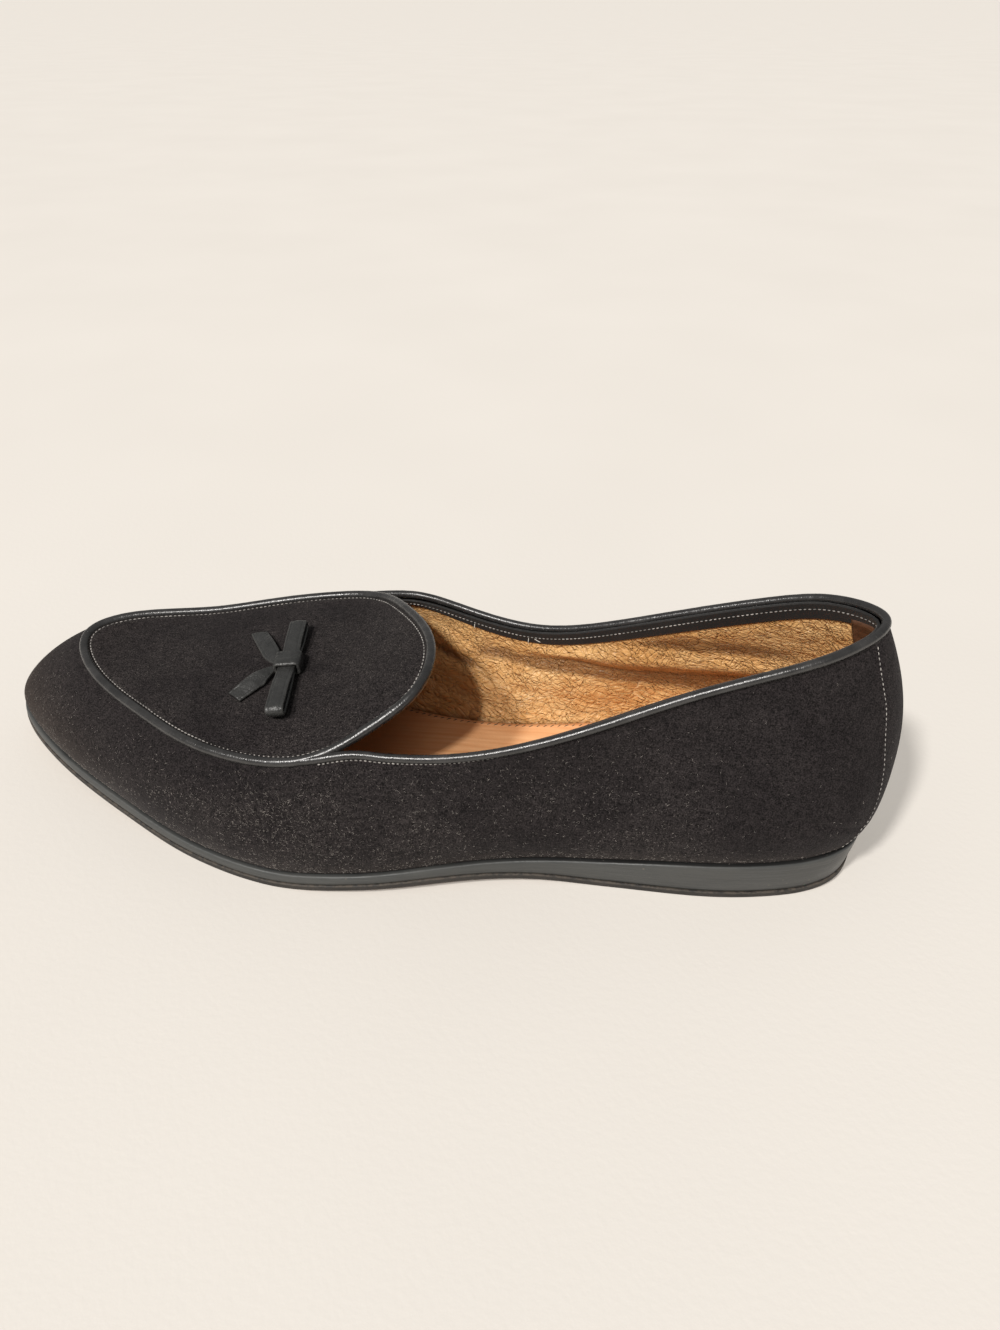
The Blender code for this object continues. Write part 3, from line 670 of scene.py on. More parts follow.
# Places are rows round the shoe (0 at the back, 12 at the toe, outer side first) and shares of the rise
SUEDE_CREASES = [
    Crease([(2.6, 0.47), (2.25, 0.36), (1.75, 0.27), (0.9, 0.10)], 0.60 * MM, 0.9 * MM),
    Crease([(3.6, 0.60), (3.0, 0.47), (2.4, 0.30)], 0.35 * MM, 3.5 * MM),
    Crease([(5.4, 0.72), (4.6, 0.50), (3.6, 0.28)], 0.35 * MM, 5.0 * MM),
    Crease([(8.0, 0.86), (7.4, 0.62), (7.1, 0.40)], 0.30 * MM, 4.5 * MM),
    Crease([(21.6, 0.50), (22.3, 0.34), (23.0, 0.16)], 0.45 * MM, 1.6 * MM),
    Crease([(18.6, 0.72), (19.4, 0.50), (20.4, 0.30)], 0.35 * MM, 5.0 * MM),
]
SUEDE_DENTS = [
    Dent(1.6, 0.62, 0.6, 0.22, -0.5 * MM),
    Dent(3.1, 0.66, 0.7, 0.20, 0.5 * MM),
    Dent(4.4, 0.34, 0.8, 0.20, -0.4 * MM),
    Dent(5.8, 0.62, 0.7, 0.20, 0.35 * MM),
    Dent(7.6, 0.36, 0.8, 0.22, -0.45 * MM),
    Dent(9.3, 0.52, 0.6, 0.22, 0.3 * MM),
    Dent(10.8, 0.48, 0.7, 0.22, -0.35 * MM),
    Dent(12.3, 0.40, 0.7, 0.22, 0.3 * MM),
    Dent(15.4, 0.45, 0.9, 0.24, -0.4 * MM),
    Dent(20.2, 0.60, 0.8, 0.22, 0.45 * MM),
    Dent(22.4, 0.55, 0.6, 0.22, -0.4 * MM),
]
BACKSTAY_RISE = 0.35 * MM
BACKSTAY = [(0.0, 1.50), (0.1, 1.32), (0.25, 1.06), (0.4, 0.88), (0.55, 0.76), (0.73, 0.62), (1.0, 0.60)]
SUEDE = 1.15 * MM
LINING = 0.70 * MM
BETWEEN = 0.1 * MM  # from the suede's inner face to the lining's back
LINING_DROP = 2.6 * MM  # where the lining ends below the topline
DEEPEST = 0.55 * MM  # the most that a trough of the lining may take
HIDDEN_STEP = 8  # faces that stay hidden keep one row in so many

LINING_CREASES = [
    Crease(
        [(18.0, 0.62), (18.5, 0.72), (19.25, 0.77), (20.25, 0.53), (21.0, 0.35), (22.2, 0.20)],
        0.55 * MM,
        3.0 * MM,
    ),
    Crease([(18.6, 0.86), (19.4, 0.90), (20.3, 0.76), (21.3, 0.60), (22.6, 0.46)], -2.1 * MM, 4.2 * MM),
    Crease([(18.8, 0.52), (19.6, 0.40), (20.4, 0.26)], -0.7 * MM, 4.5 * MM),
    Crease([(17.2, 0.56), (18.0, 0.44), (18.9, 0.30)], -0.6 * MM, 3.0 * MM),
    Crease([(17.0, 0.68), (17.8, 0.58), (18.5, 0.50)], 0.4 * MM, 1.8 * MM),
    Crease([(5.6, 0.62), (4.6, 0.48), (3.2, 0.40), (1.8, 0.36)], 0.5 * MM, 3.0 * MM),
    Crease([(5.8, 0.76), (4.6, 0.64), (3.2, 0.58), (1.8, 0.55)], -1.2 * MM, 4.5 * MM),
]


def on_wall(grid, path, count):
    """Points of a wall grid along a smooth line of places, each a row round the shoe and a share up."""
    path = np.asarray(path, float)
    run = np.linspace(0.0, len(path) - 1.0, count)
    knots = np.arange(len(path))
    column = eased(knots, path[:, 0], run) * ROUND_COUNT / ROWS_AROUND
    level = np.clip(eased(knots, path[:, 1], run), 0.0, 1.0) * (len(grid) - 1)
    c = np.floor(column).astype(int)
    r = np.minimum(np.floor(level).astype(int), len(grid) - 2)
    s = (column - c)[:, None]
    t = (level - r)[:, None]
    here = grid[r, c % ROUND_COUNT] * (1 - s) + grid[r, (c + 1) % ROUND_COUNT] * s
    above = grid[r + 1, c % ROUND_COUNT] * (1 - s) + grid[r + 1, (c + 1) % ROUND_COUNT] * s
    return here * (1 - t) + above * t


def creased(grid, creases):
    """How far each point sinks, from soft troughs that each have a low ridge on both sides."""
    flat = grid.reshape(-1, 3)
    sink = np.zeros(len(flat))
    for crease in creases:
        line = on_wall(grid, crease.path, 90)
        reach = 4.0 * crease.width
        low = line.min(0) - reach
        high = line.max(0) + reach
        close = np.nonzero(((flat > low) & (flat < high)).all(1))[0]
        gaps = np.linalg.norm(flat[close][:, None] - line[None], axis=2)
        nearest = gaps.argmin(1)
        distance = gaps[np.arange(len(close)), nearest]
        share = nearest / (len(line) - 1.0)
        fade = smooth(0.0, 0.22, share) * smooth(1.0, 0.78, share)
        trough = bell(distance, crease.width)
        ridge = bell(distance - 1.9 * crease.width, crease.width)
        sink[close] += crease.depth * fade * (trough - 0.3 * ridge)
    return sink.reshape(grid.shape[:2])


def dented(levels, dents):
    """How far each point sinks, from soft round dents."""
    sink = np.zeros((len(levels), ROUND_COUNT))
    for dent in dents:
        away = np.abs(ROW - dent.row)
        away = np.minimum(away, ROWS_AROUND - away)
        sink += dent.depth * bell(away[None], dent.wide) * bell(levels[:, None] - dent.up, dent.high)
    return sink


def backstay_half(levels):
    places = [place for place, half in BACKSTAY]
    return eased(places, [half for place, half in BACKSTAY], levels)


def suede_skin(low_trim, high_trim, backstay):
    """The wall's outer face with its folds, and its normals. backstay: 1 with the strip up the back, or 0."""
    grid = wall_grid(low_trim, high_trim, WALL_COUNT)
    normals = ring_normals(grid)
    levels = np.linspace(0.0, 1.0, WALL_COUNT)
    edge = smooth(0.0, 0.12, levels) * smooth(1.0, 0.88, levels)
    sink = (creased(grid, SUEDE_CREASES) + dented(levels, SUEDE_DENTS)) * edge[:, None]
    inside = backstay_half(levels)[:, None] - BACK_AWAY[None]
    sink -= backstay * BACKSTAY_RISE * smooth(-0.035, 0.02, inside) * smooth(-0.02, 0.05, levels)[:, None]
    skin = grid - normals * sink[:, :, None]
    return skin, ring_normals(skin)


def spread_of(grid):
    """Flat coordinates of a wall grid: how far round the shoe, and how far up the wall."""
    run = lengths_along(grid[len(grid) // 2])
    steps = np.linalg.norm(np.diff(grid, axis=0), axis=2)
    rise = np.concatenate([np.zeros((1, ROUND_COUNT)), np.cumsum(steps, axis=0)])
    return np.stack([np.broadcast_to(run, rise.shape), rise, np.zeros_like(rise)], 2)


def patch_mark(points, spots):
    """A soft mask from spots, each a place, how far it spreads and how strong it is."""
    mask = np.zeros(points.shape[:-1])
    for x, y, z, spread, strength in spots:
        away = np.linalg.norm(points - np.array((x, y, z)) * MM, axis=-1)
        mask = np.maximum(mask, strength * bell(away, spread * MM))
    return mask


SUEDE_DUST = [
    (70, 44, 24, 30, 0.55),
    (128, 42, 20, 28, 0.65),
    (166, 46, 18, 30, 0.95),
    (196, 43, 14, 24, 0.70),
    (226, 32, 14, 24, 0.45),
    (254, 14, 16, 24, 0.50),
    (150, 40, 34, 20, 0.50),
    (96, 36, 38, 22, 0.45),
    (110, -30, 24, 36, 0.45),
    (190, -50, 18, 40, 0.60),
]


def add_suede():
    skin, normals = suede_skin(-0.3 * MM, 0.0, 1.0)
    under = (skin - normals * SUEDE)[::HIDDEN_STEP][::-1]
    rows = np.concatenate([skin, under])
    levels = np.concatenate([np.linspace(0, 1, len(skin)), np.linspace(1, 0, len(under))])
    low = bell((rows[:, :, 2] - FEATHER[None, :, 2]) / MM, 4.0)
    # On the walls this mark holds only dust and lint: pale patches, and more of it low along the sole.
    dust_and_sheen = np.clip(0.8 * patch_mark(rows, SUEDE_DUST) + 0.75 * low + 0.05, 0.0, 1.0)
    ahead = smooth(212 * MM, 275 * MM, rows[:, :, 0])
    brown = np.clip(0.85 * ahead * smooth(0.95, 0.2, levels)[:, None] + 0.35 * low, 0.0, 1.0)
    faces = grid_faces(len(rows), ROUND_COUNT, closed_rows=True)
    piece = add_mesh("suede_upper", rows, faces, PAINTS["suede"], None, {"dust_and_sheen": dust_and_sheen, "brown": brown})
    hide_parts("upper")
    return skin, normals


def add_lining():
    """A sheet inside the suede: its back first, then its face from the top down."""
    grid, normals = suede_skin(0.0, LINING_DROP, 0.0)
    levels = np.linspace(0.0, 1.0, WALL_COUNT)[:, None]
    steps = np.linalg.norm(np.diff(grid[::-1], axis=0), axis=2)
    down = np.concatenate([np.cumsum(steps, axis=0)[::-1], np.zeros((1, ROUND_COUNT))]) + LINING_DROP
    edge = smooth(-0.02, 0.10, levels) * smooth(0.0, 5.0 * MM, down - facing_depth()[None])
    sink = np.minimum(creased(grid, LINING_CREASES), DEEPEST) * edge
    back = (grid - normals * (SUEDE + BETWEEN))[::HIDDEN_STEP]
    face = grid - normals * (SUEDE + BETWEEN + LINING) + normals * sink[:, :, None]
    rows = np.concatenate([back, face[::-1]])
    scratched = bell(levels - 0.36, 0.20) * bell(ROW[None] - 19.7, 1.5)
    shade = np.maximum(smooth(0.05 * MM, 0.5 * MM, sink) * 0.72, 0.8 * bell(levels, 0.03))
    marks = {}
    for mark, values in (("scratched", scratched), ("shade", shade)):
        marks[mark] = np.concatenate([np.zeros(back.shape[:2]), values[::-1]])
    spread = spread_of(grid)
    spread = np.concatenate([spread[::HIDDEN_STEP], spread[::-1]])
    faces = grid_faces(len(rows), ROUND_COUNT, closed_rows=True)
    piece = add_mesh("tan_lining", rows, faces, PAINTS["lining"], spread, marks)


COLLAR_ROWS = 7.7  # rows from the back to where the topline runs in under the apron
FACING_DEPTH = [(0.0, 6.4), (2.0, 6.2), (4.0, 5.2), (5.7, 4.9), (7.7, 3.9)]


def facing_depth():
    places = [row for row, depth in FACING_DEPTH]
    return eased(places, [depth * MM for row, depth in FACING_DEPTH], BACK_AWAY)


def below_rim(grid, normals, distance):
    """Points and normals a given way down the wall from its top, one a column."""
    points = np.zeros((ROUND_COUNT, 3))
    ups = np.zeros((ROUND_COUNT, 3))
    distance = np.broadcast_to(distance, ROUND_COUNT)
    for i in range(ROUND_COUNT):
        column = grid[::-1, i]
        run = lengths_along(column)
        for k in range(3):
            points[i, k] = np.interp(distance[i], run, column[:, k])
            ups[i, k] = np.interp(distance[i], run, normals[::-1, i, k])
    return points, ups


def collar_columns(rows):
    """Columns of the wall grid within so many rows of the back, in order round it."""
    half = int(rows * ROUND_COUNT / ROWS_AROUND)
    return np.arange(-half, half + 1) % ROUND_COUNT


def add_inside_strip(name, columns, tops, bottoms, near, far, steps, material):
    """A thin sheet on the lining's face, between two depths below the rim."""
    grid, normals = suede_skin(0.0, 0.0, 0.0)
    face = []
    back = []
    for share in np.linspace(0.0, 1.0, steps):
        points, ups = below_rim(grid, normals, tops + (bottoms - tops) * share)
        thin = 1.0 - 0.85 * smooth(0.90, 1.0, share)
        face.append((points - ups * (near + (far - near) * thin))[columns])
        back.append((points - ups * near)[columns])
    rows = np.array(face + back[::-1])
    count = len(columns)
    faces = grid_faces(len(rows), count, closed_rows=True, closed_count=False)
    for side in (0, count - 1):
        faces.append(tuple(row * count + side for row in range(len(rows))))
    return add_mesh(name, rows, faces, material)


def add_facing():
    near = SUEDE + LINING - 0.1 * MM
    columns = collar_columns(COLLAR_ROWS)
    far = near + 0.7 * MM
    piece = add_inside_strip("inner_facing", columns, 0.0, facing_depth(), near, far, 14, PAINTS["facing"])


def add_heel_patch():
    grid = wall_grid(0.0, 0.0, WALL_COUNT)
    height = np.linalg.norm(np.diff(grid, axis=0), axis=2).sum(0)
    near = SUEDE + LINING + 0.05 * MM
    far = near + 0.6 * MM
    columns = collar_columns(0.78)
    paint = PAINTS["heel_patch"]
    piece = add_inside_strip("heel_patch", columns, 4.0 * MM, height * 0.97, near, far, 30, paint)


# The pipings


APRON_ROLL = 2.9 * MM
COLLAR_ROLL = 2.5 * MM
ROLL_STEP = 0.45 * MM
ROLL_SIDES = 24


def wrinkled(count, roll, seed):
    """A tube's radius with small bulges: rings that swell and lumps that run round it."""
    chance = np.random.default_rng(seed)
    rings = chance.normal(0.0, 1.0, count)
    rings = np.convolve(np.r_[rings[-2:], rings, rings[:2]], (0.15, 0.25, 0.2, 0.25, 0.15), "valid")
    lumps = chance.normal(0.0, 1.0, (count, ROLL_SIDES))
    lumps = (lumps + np.roll(lumps, 1, 0) + np.roll(lumps, 1, 1) + np.roll(lumps, -1, 1)) / 4
    return roll / 2 + 0.022 * MM * (0.7 * rings[:, None] + 0.6 * lumps)


def add_apron_piping():
    path = resampled(ROLL_STEP, np.vstack([APRON_LINE, APRON_LINE[:1]]))[0][:-1]
    radius = wrinkled(len(path), APRON_ROLL, 11)
    piece = add_tube("fine_apron_piping", path, True, radius, ROLL_SIDES, PAINTS["piping"])
    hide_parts("apron_piping")


def add_topline_piping():
    """The collar's piping, whose two ends run into the apron's."""
    path = resampled(ROLL_STEP, RIM[collar_columns(8.0)])[0]
    radius = wrinkled(len(path), COLLAR_ROLL, 12)
    piece = add_tube("fine_topline_piping", path, False, radius, ROLL_SIDES, PAINTS["piping"])
    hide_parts("topline_piping")


# The apron


def add_sheet(name, top, bottom, material, marks):
    """A closed sheet between two surfaces, each a toe point, rows across and a tip point."""
    length, count = top[1].shape[:2]
    points = []
    for toe, rows, tip in (top, bottom):
        points += [toe, *rows.reshape(-1, 3), tip]
    half = len(points) // 2
    last = half - 1
    faces = []
    for base in (0, half):
        first = base + 1
        end = base + last - count
        for t in range(count - 1):
            faces.append((base, first + t, first + t + 1))
            faces.append((end + t, base + last, end + t + 1))
        for face in grid_faces(length, count, closed_count=False):
            faces.append(tuple(first + corner for corner in face))
    outline = [0] + [1 + i * count for i in range(length)] + [last]
    outline += [i * count for i in range(length, 0, -1)]
    for a, b in zip(outline, outline[1:] + outline[:1]):
        faces.append((a, b, b + half, a + half))
    return add_mesh(name, points, faces, material, np.array(points) + SHIFT, marks)


def sheet_normals(rows):
    normal = np.cross(np.gradient(rows, axis=0), np.gradient(rows, axis=1))
    return unit(normal * np.sign(normal[:, :, 2:3]))


def edge_distance(points):
    """How far each point of the apron lies from its piping's line."""
    flat = points.reshape(-1, 3)
    gaps = np.full(len(flat), 1.0)
    for start in range(0, len(flat), 2000):
        away = flat[start : start + 2000, None, :2] - APRON_LINE[None, :, :2]
        gaps[start : start + 2000] = np.linalg.norm(away, axis=2).min(1)
    return gaps.reshape(points.shape[:-1])


APRON_DENTS = [
    (236, -4, 26, 18, 0.9),
    (205, 22, 24, 14, -0.6),
    (158, -14, 16, 20, 0.6),
    (150, 18, 20, 12, -0.5),
    (190, -24, 22, 10, -0.5),
]
SUEDE_SHEET = 1.2 * MM
STITCH_INSET = 2.05 * MM


def apron_skin():
    toe, rows, tip = apron_grid(0.6 * MM)
    sink = np.zeros(rows.shape[:2])
    for x, y, long, wide, depth in APRON_DENTS:
        sink += depth * MM * bell(rows[:, :, 0] / MM - x, long) * bell(rows[:, :, 1] / MM - y, wide)
    gaps = edge_distance(rows)
    sink *= smooth(2.0 * MM, 9.0 * MM, gaps)
    sink += 0.30 * MM * bell(gaps - STITCH_INSET, 0.5 * MM)
    rows[:, :, 2] -= sink
    return toe, rows, tip


def add_apron():
    toe, rows, tip = apron_skin()
    normals = sheet_normals(rows)

    def face(depth, end_depth):
        down = UP * SUEDE_SHEET * end_depth
        return toe - down, rows - normals * depth, tip - down

    # Paler suede on the apron, more so along the stitch line, as dust; the two patches, at the apron's rear
    # and near its toe, are painted sheen where the light falls brighter.
    dust_and_sheen = 0.50 + 0.40 * bell(edge_distance(rows) - 2.0 * MM, 1.3 * MM)
    dust_and_sheen += patch_mark(rows, [(150, 4, 53, 30, 0.45), (225, -10, 45, 26, 0.20)])
    brown = 0.10 * smooth(225 * MM, 250 * MM, rows[:, :, 0])
    marks = {}
    for name, values in (("dust_and_sheen", dust_and_sheen), ("brown", brown)):
        marks[name] = np.tile(np.concatenate([[0.2], np.clip(values, 0.0, 1.0).ravel(), [0.2]]), 2)
    piece = add_sheet("suede_apron", face(0.0, 0.0), face(SUEDE_SHEET, 1.0), PAINTS["suede"], marks)
    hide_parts("apron")
    blank = np.zeros(2 * (rows.shape[0] * rows.shape[1] + 2))
    top = face(SUEDE_SHEET + BETWEEN, 1.08)
    marks = {"scratched": blank, "shade": blank}
    piece = add_sheet("apron_lining", top, face(APRON_SHEET, 1.83), PAINTS["lining"], marks)
    return rows, normals


STITCH = 0.36 * MM  # thickness of the seams' thread
STITCH_DROP = 1.5 * MM
FACING_STITCH_DROP = 2.2 * MM
PALE_ROWS = 2.6  # on the inner side the collar's thread is pale over so many rows
LOOSE_ENDS = [(18.13, 1.2, 0.3), (18.93, 1.6, 0.2), (19.0, 0.5, 2.2)]  # row, length and lean


def add_apron_stitches(rows, normals):
    inside = APRON_LINE - outward(APRON_LINE) * STITCH_INSET
    flat = rows.reshape(-1, 3)
    near = [np.hypot(flat[:, 0] - spot[0], flat[:, 1] - spot[1]).argmin() for spot in inside]
    near = np.array(near + near[:1])
    ups = normals.reshape(-1, 3)[near]
    line = np.vstack([inside, inside[:1]])
    line[:, 2] = flat[near, 2]
    line += ups * 0.05 * MM
    piece = add_stitches("apron_stitches", line, ups, 1.45 * MM, 1.15 * MM, STITCH, PAINTS["pale_thread"])


def add_collar_stitches(skin, normals):
    points, ups = below_rim(skin, normals, STITCH_DROP)
    whole = collar_columns(COLLAR_ROWS)
    pale = int(PALE_ROWS * ROUND_COUNT / ROWS_AROUND)
    for name, columns in (("dark", whole[: -pale + 1]), ("pale", whole[-pale:])):
        line, lift = points[columns], ups[columns]
        paint = PAINTS[name + "_thread"]
        piece = add_stitches("collar_stitches_" + name, line, lift, 1.3 * MM, 0.95 * MM, STITCH, paint)


def add_facing_stitches():
    points, ups = below_rim(*suede_skin(0.0, 0.0, 0.0), FACING_STITCH_DROP)
    columns = collar_columns(COLLAR_ROWS - 0.1)
    line = (points - ups * (SUEDE + LINING + 0.65 * MM))[columns]
    paint = PAINTS["pale_thread"]
    piece = add_stitches("facing_stitches", line, -ups[columns], 1.35 * MM, 1.0 * MM, STITCH, paint)


def add_loose_ends():
    """Frayed ends of the white thread that held the facing, on the inner side below the topline."""
    points, ups = below_rim(*suede_skin(0.0, 0.0, 0.0), LINING_DROP)
    for number, (row, long, lean) in enumerate(LOOSE_ENDS):
        column = int(row * ROUND_COUNT / ROWS_AROUND)
        along = unit(points[column + 4] - points[column])
        start = points[column] - ups[column] * (SUEDE + LINING + 0.8 * MM)
        tip = start - UP * long * MM + along * lean * MM - ups[column] * 0.6 * MM
        bend = (start + tip) / 2 - ups[column] * 0.5 * MM + along * 0.4 * lean * MM
        path = np.array((start, bend, tip))
        run = np.linspace(0.0, 2.0, 40)
        path = np.stack([eased(np.arange(3), path[:, k], run) for k in range(3)], 1)
        piece = add_tube("loose_thread_" + str(number + 1), path, False, 0.12 * MM, 8, PAINTS["white_thread"])


def add_backstay_stitches(skin, normals):
    levels = np.linspace(0.05, 0.955, 60)
    half = backstay_half(levels) - 0.05
    for name, side in (("outer", 1.0), ("inner", -1.0)):
        path = np.stack([side * half, levels], 1)
        line = on_wall(skin, path, 200)
        ups = on_wall(normals, path, 200)
        paint = PAINTS["pale_thread"]
        piece = add_stitches("backstay_stitches_" + name, line, ups, 1.5 * MM, 1.1 * MM, 0.30 * MM, paint)


# The bow


def plane_at(rows, place, count):
    """The two slopes and the height of the apron at a place, from its nearest points."""
    flat = rows.reshape(-1, 3)
    close = flat[np.argsort(np.hypot(flat[:, 0] - place[0], flat[:, 1] - place[1]))[:count]]
    fit = np.c_[close[:, 0:2] - place[0:2], np.ones(count)]
    return np.linalg.lstsq(fit, close[:, 2], rcond=None)[0]


def bow_axes(rows):
    """The bow's place on the apron: its origin, and the directions ahead, along the loops and up."""
    x = BOW_AT * LENGTH
    slope_x, slope_y, height = plane_at(rows, (x, BOW_ASIDE), 60)
    turn = math.radians(BOW_TURN)
    up = unit(np.array((-slope_x, -slope_y, 1.0)))
    ahead = unit(np.cross((-math.sin(turn), math.cos(turn), 0.0), up))
    return np.array((x, BOW_ASIDE, height)), ahead, np.cross(up, ahead), up


def strap_profile(width, thick, groove):
    """A strap's cross-section: crowned above with a crease along each edge, and round at the sides."""
    half = width / 2
    radius = thick * 0.42
    points = []
    for u in np.linspace(-half + radius, half - radius, 27):
        crown = 0.24 * thick * (1.0 - (u / half) ** 2)
        crease = groove * MM * math.exp(-(((abs(u) - half + 0.95 * MM) / (0.20 * MM)) ** 2))
        points.append((u, thick / 2 + crown - crease))
    for angle in np.linspace(math.pi / 2, -math.pi / 2, 9)[1:-1]:
        points.append((half - radius + radius * math.cos(angle), thick / 2 * math.sin(angle)))
    points += [(u, -thick / 2) for u in np.linspace(half - radius, -half + radius, 9)]
    for angle in np.linspace(-math.pi / 2, -3 * math.pi / 2, 9)[1:-1]:
        points.append((-half + radius + radius * math.cos(angle), thick / 2 * math.sin(angle)))
    return points


def sweep_strap(name, path, across, ups, profile, closed):
    """A strap along a path; across and ups are the directions of its width and its thickness."""
    count = len(profile)
    rows = []
    for spot, side, up in zip(path, across, ups):
        rows.append([spot + side * u + up * w for u, w in profile])
    faces = grid_faces(len(rows), count, closed_rows=closed)
    if not closed:
        faces += end_faces(len(rows), count)
    half = max(u for u, w in profile)
    edge = [smooth(half - 0.55 * MM, half - 0.1 * MM, abs(u)) for u, w in profile]
    piece = add_mesh(name, rows, faces, PAINTS["strap"], None, {"edge": np.tile(edge, len(rows))})
    return piece


def add_loop(name, side, length, middle, axes):
    """A flattened loop of the bow's strap, to one side of its middle."""
    ahead, beside, up = axes[1:]
    free = length - KNOT_WIDTH / 2
    straight = length - LOOP_HEIGHT / 2
    radius = LOOP_HEIGHT / 2 - STRAP / 2
    path = []
    for y in np.linspace(0.0, straight, 48):
        rise = float(np.clip((y - KNOT_WIDTH / 2) / (free * LOOP_RISE), 0.0, 1.0))
        half_height = STRAP + (LOOP_HEIGHT / 2 - STRAP) * (3.0 - 2.0 * rise) * rise**2
        path.append((y, half_height - STRAP / 2))
    under = [(y, -z) for y, z in path[::-1]]
    turn = np.linspace(math.pi / 2, -math.pi / 2, 17)[1:-1]
    path += [(straight + radius * math.cos(a), radius * math.sin(a)) for a in turn]
    path = np.array(path + under)
    y = path[:, 0:1] / length
    sag = 0.10 * MM * np.sin(y * math.pi)
    sway = 0.25 * MM * np.sin(y * 2.2) * side
    spots = middle + beside * side * path[:, 0:1] + up * (path[:, 1:2] - sag) + ahead * sway
    along = unit(np.gradient(path, axis=0))
    ups = beside * (side * -along[:, 1:2]) + up * along[:, 0:1]
    across = np.tile(ahead, (len(path), 1))
    return sweep_strap(name, spots, across, ups, strap_profile(STRAP_WIDTH, STRAP, 0.13), False)


def add_band(middle, axes):
    """The band round the strap's middle, with soft ripples across it."""
    ahead, beside, up = axes[1:]
    corner = STRAP * 0.8
    depth = STRAP_WIDTH / 2 + GAP + STRAP / 2 - corner
    height = STRAP + GAP + STRAP / 2 - corner
    band = []
    facing = []
    for number, (x, y) in enumerate(((1, 1), (-1, 1), (-1, -1), (1, -1))):
        for turn in np.linspace(0.0, math.pi / 2, 9):
            angle = number * math.pi / 2 + turn
            facing.append(ahead * math.cos(angle) + up * math.sin(angle))
            band.append(middle + ahead * x * depth + up * y * height + facing[-1] * corner)
    profile = []
    for u, w in strap_profile(KNOT_WIDTH, STRAP, 0.0):
        ripple = 0.09 * MM * math.cos(2.0 * math.pi * u / (2.3 * MM))
        ripple *= smooth(KNOT_WIDTH / 2, KNOT_WIDTH / 4, abs(u))
        profile.append((u, w + (ripple if w > 0 else 0.0)))
    piece = sweep_strap("bow_band", band, np.tile(beside, (len(band), 1)), facing, profile, True)
    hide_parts("bow_knot")


def add_bow(rows):
    axes = bow_axes(rows)
    middle = axes[0] + axes[3] * (2 * GAP + 2 * STRAP)
    piece = add_loop("bow_loop_outer", 1.0, OUTER_LOOP, middle, axes)
    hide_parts("bow_loops")
    add_loop("bow_loop_inner", -1.0, INNER_LOOP, middle, axes)
    add_band(middle, axes)
    add_tail("outer", OUTER_TAIL, OUTER_TAIL_TURN, OUTER_TAIL_SLANT, OUTER_TAIL_ROLL, rows, axes)
    add_tail("inner", INNER_TAIL, -INNER_TAIL_TURN, INNER_TAIL_SLANT, INNER_TAIL_ROLL, rows, axes)


def add_tail(side_name, length, angle, end_slant, roll, rows, axes):
    """A strap end from under the band over the apron. angle: its way from straight ahead; roll: its tilt."""
    origin, ahead, beside = axes[:3]
    start = np.array([STRAP_WIDTH / 2 + GAP + STRAP + GAP, math.copysign(KNOT_WIDTH / 4, angle)])
    heading = math.radians(angle)
    forward = np.array([math.cos(heading), math.sin(heading)])
    spots = []
    across = []
    ups = []
    for share in np.linspace(-0.12, 1.0, 60):
        past = max(0.0, share)
        freed = min(1.0, past * length / STRAP_WIDTH)
        cross = math.pi / 2 + heading * freed + math.radians(end_slant) * past**3
        half = (KNOT_WIDTH / 4 - GAP) * (1.0 - freed) + STRAP_WIDTH / 2 * freed
        spot = start + forward * length * share
        place = origin + ahead * spot[0] + beside * spot[1]
        slope_x, slope_y, height = plane_at(rows, place, 12)
        normal = unit(np.array([-slope_x, -slope_y, 1.0]))
        twist = math.radians(roll) * math.sin(math.pi * past**0.6)
        lift = GAP + STRAP * (1.5 - freed) + half * math.sin(twist) * 0.9
        lift += 0.25 * MM * math.sin(3.0 * share) ** 2
        spots.append(np.array([place[0], place[1], height]) + normal * lift)
        aim = ahead * math.cos(cross) + beside * math.sin(cross)
        aim = -unit(aim - normal * aim.dot(normal))
        tip = math.copysign(twist, -aim[1])
        across.append((aim * math.cos(tip) + normal * math.sin(tip)) * half / (STRAP_WIDTH / 2))
        ups.append(normal * math.cos(tip) - aim * math.sin(tip))
    profile = strap_profile(STRAP_WIDTH, STRAP * 0.9, 0.12)
    piece = sweep_strap("bow_strap_end_" + side_name, spots, across, ups, profile, False)
    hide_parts("bow_tail_" + side_name)


# The sole


SOLE_ROUND = 0.7 * MM  # radius of the wedge's upper edge

# The outsole's rings: how far in and how high in mm, how worn, and how much of the bottom's colour
OUTSOLE_RINGS = [
    (1.6, 0.00, 0.5, 1.0),
    (0.45, 0.00, 0.6, 0.8),
    (0.12, 0.12, 0.6, 0.2),
    (0.0, 0.40, 0.1, 0.0),
    (0.0, 0.90, 0.0, 0.0),
    (0.06, 1.30, 0.0, 0.0),
    (0.0, 1.55, 0.25, 0.0),
    (0.03, 1.80, 0.8, 0.0),
    (0.14, 1.95, 1.0, 0.0),
    (0.5, 2.0, 0.8, 0.0),
    (1.6, 2.0, 0.0, 0.0),
]


def ring_at(offset, height):
    """The feather line moved outward, at a height that is a function of its place along the shoe."""
    ring = FEATHER + outward(FEATHER) * offset
    ring[:, 2] = height(ring[:, 0])
    return ring


def add_plate(name, rings, material, marks):
    """A plate from a stack of rings, closed by a lid at each end."""
    count = ROUND_COUNT
    faces = grid_faces(len(rings), count) + lid_faces(0, count) + lid_faces((len(rings) - 1) * count, count)
    full = {}
    for mark, rows in marks.items():
        full[mark] = np.concatenate([np.broadcast_to(row, count) for row in rows])
    return add_mesh(name, rings, faces, material, None, full)


def low_lip():
    return SOLE_LIP - HEEL_TAPER * sole_line("stack", FEATHER[:, 0:1])


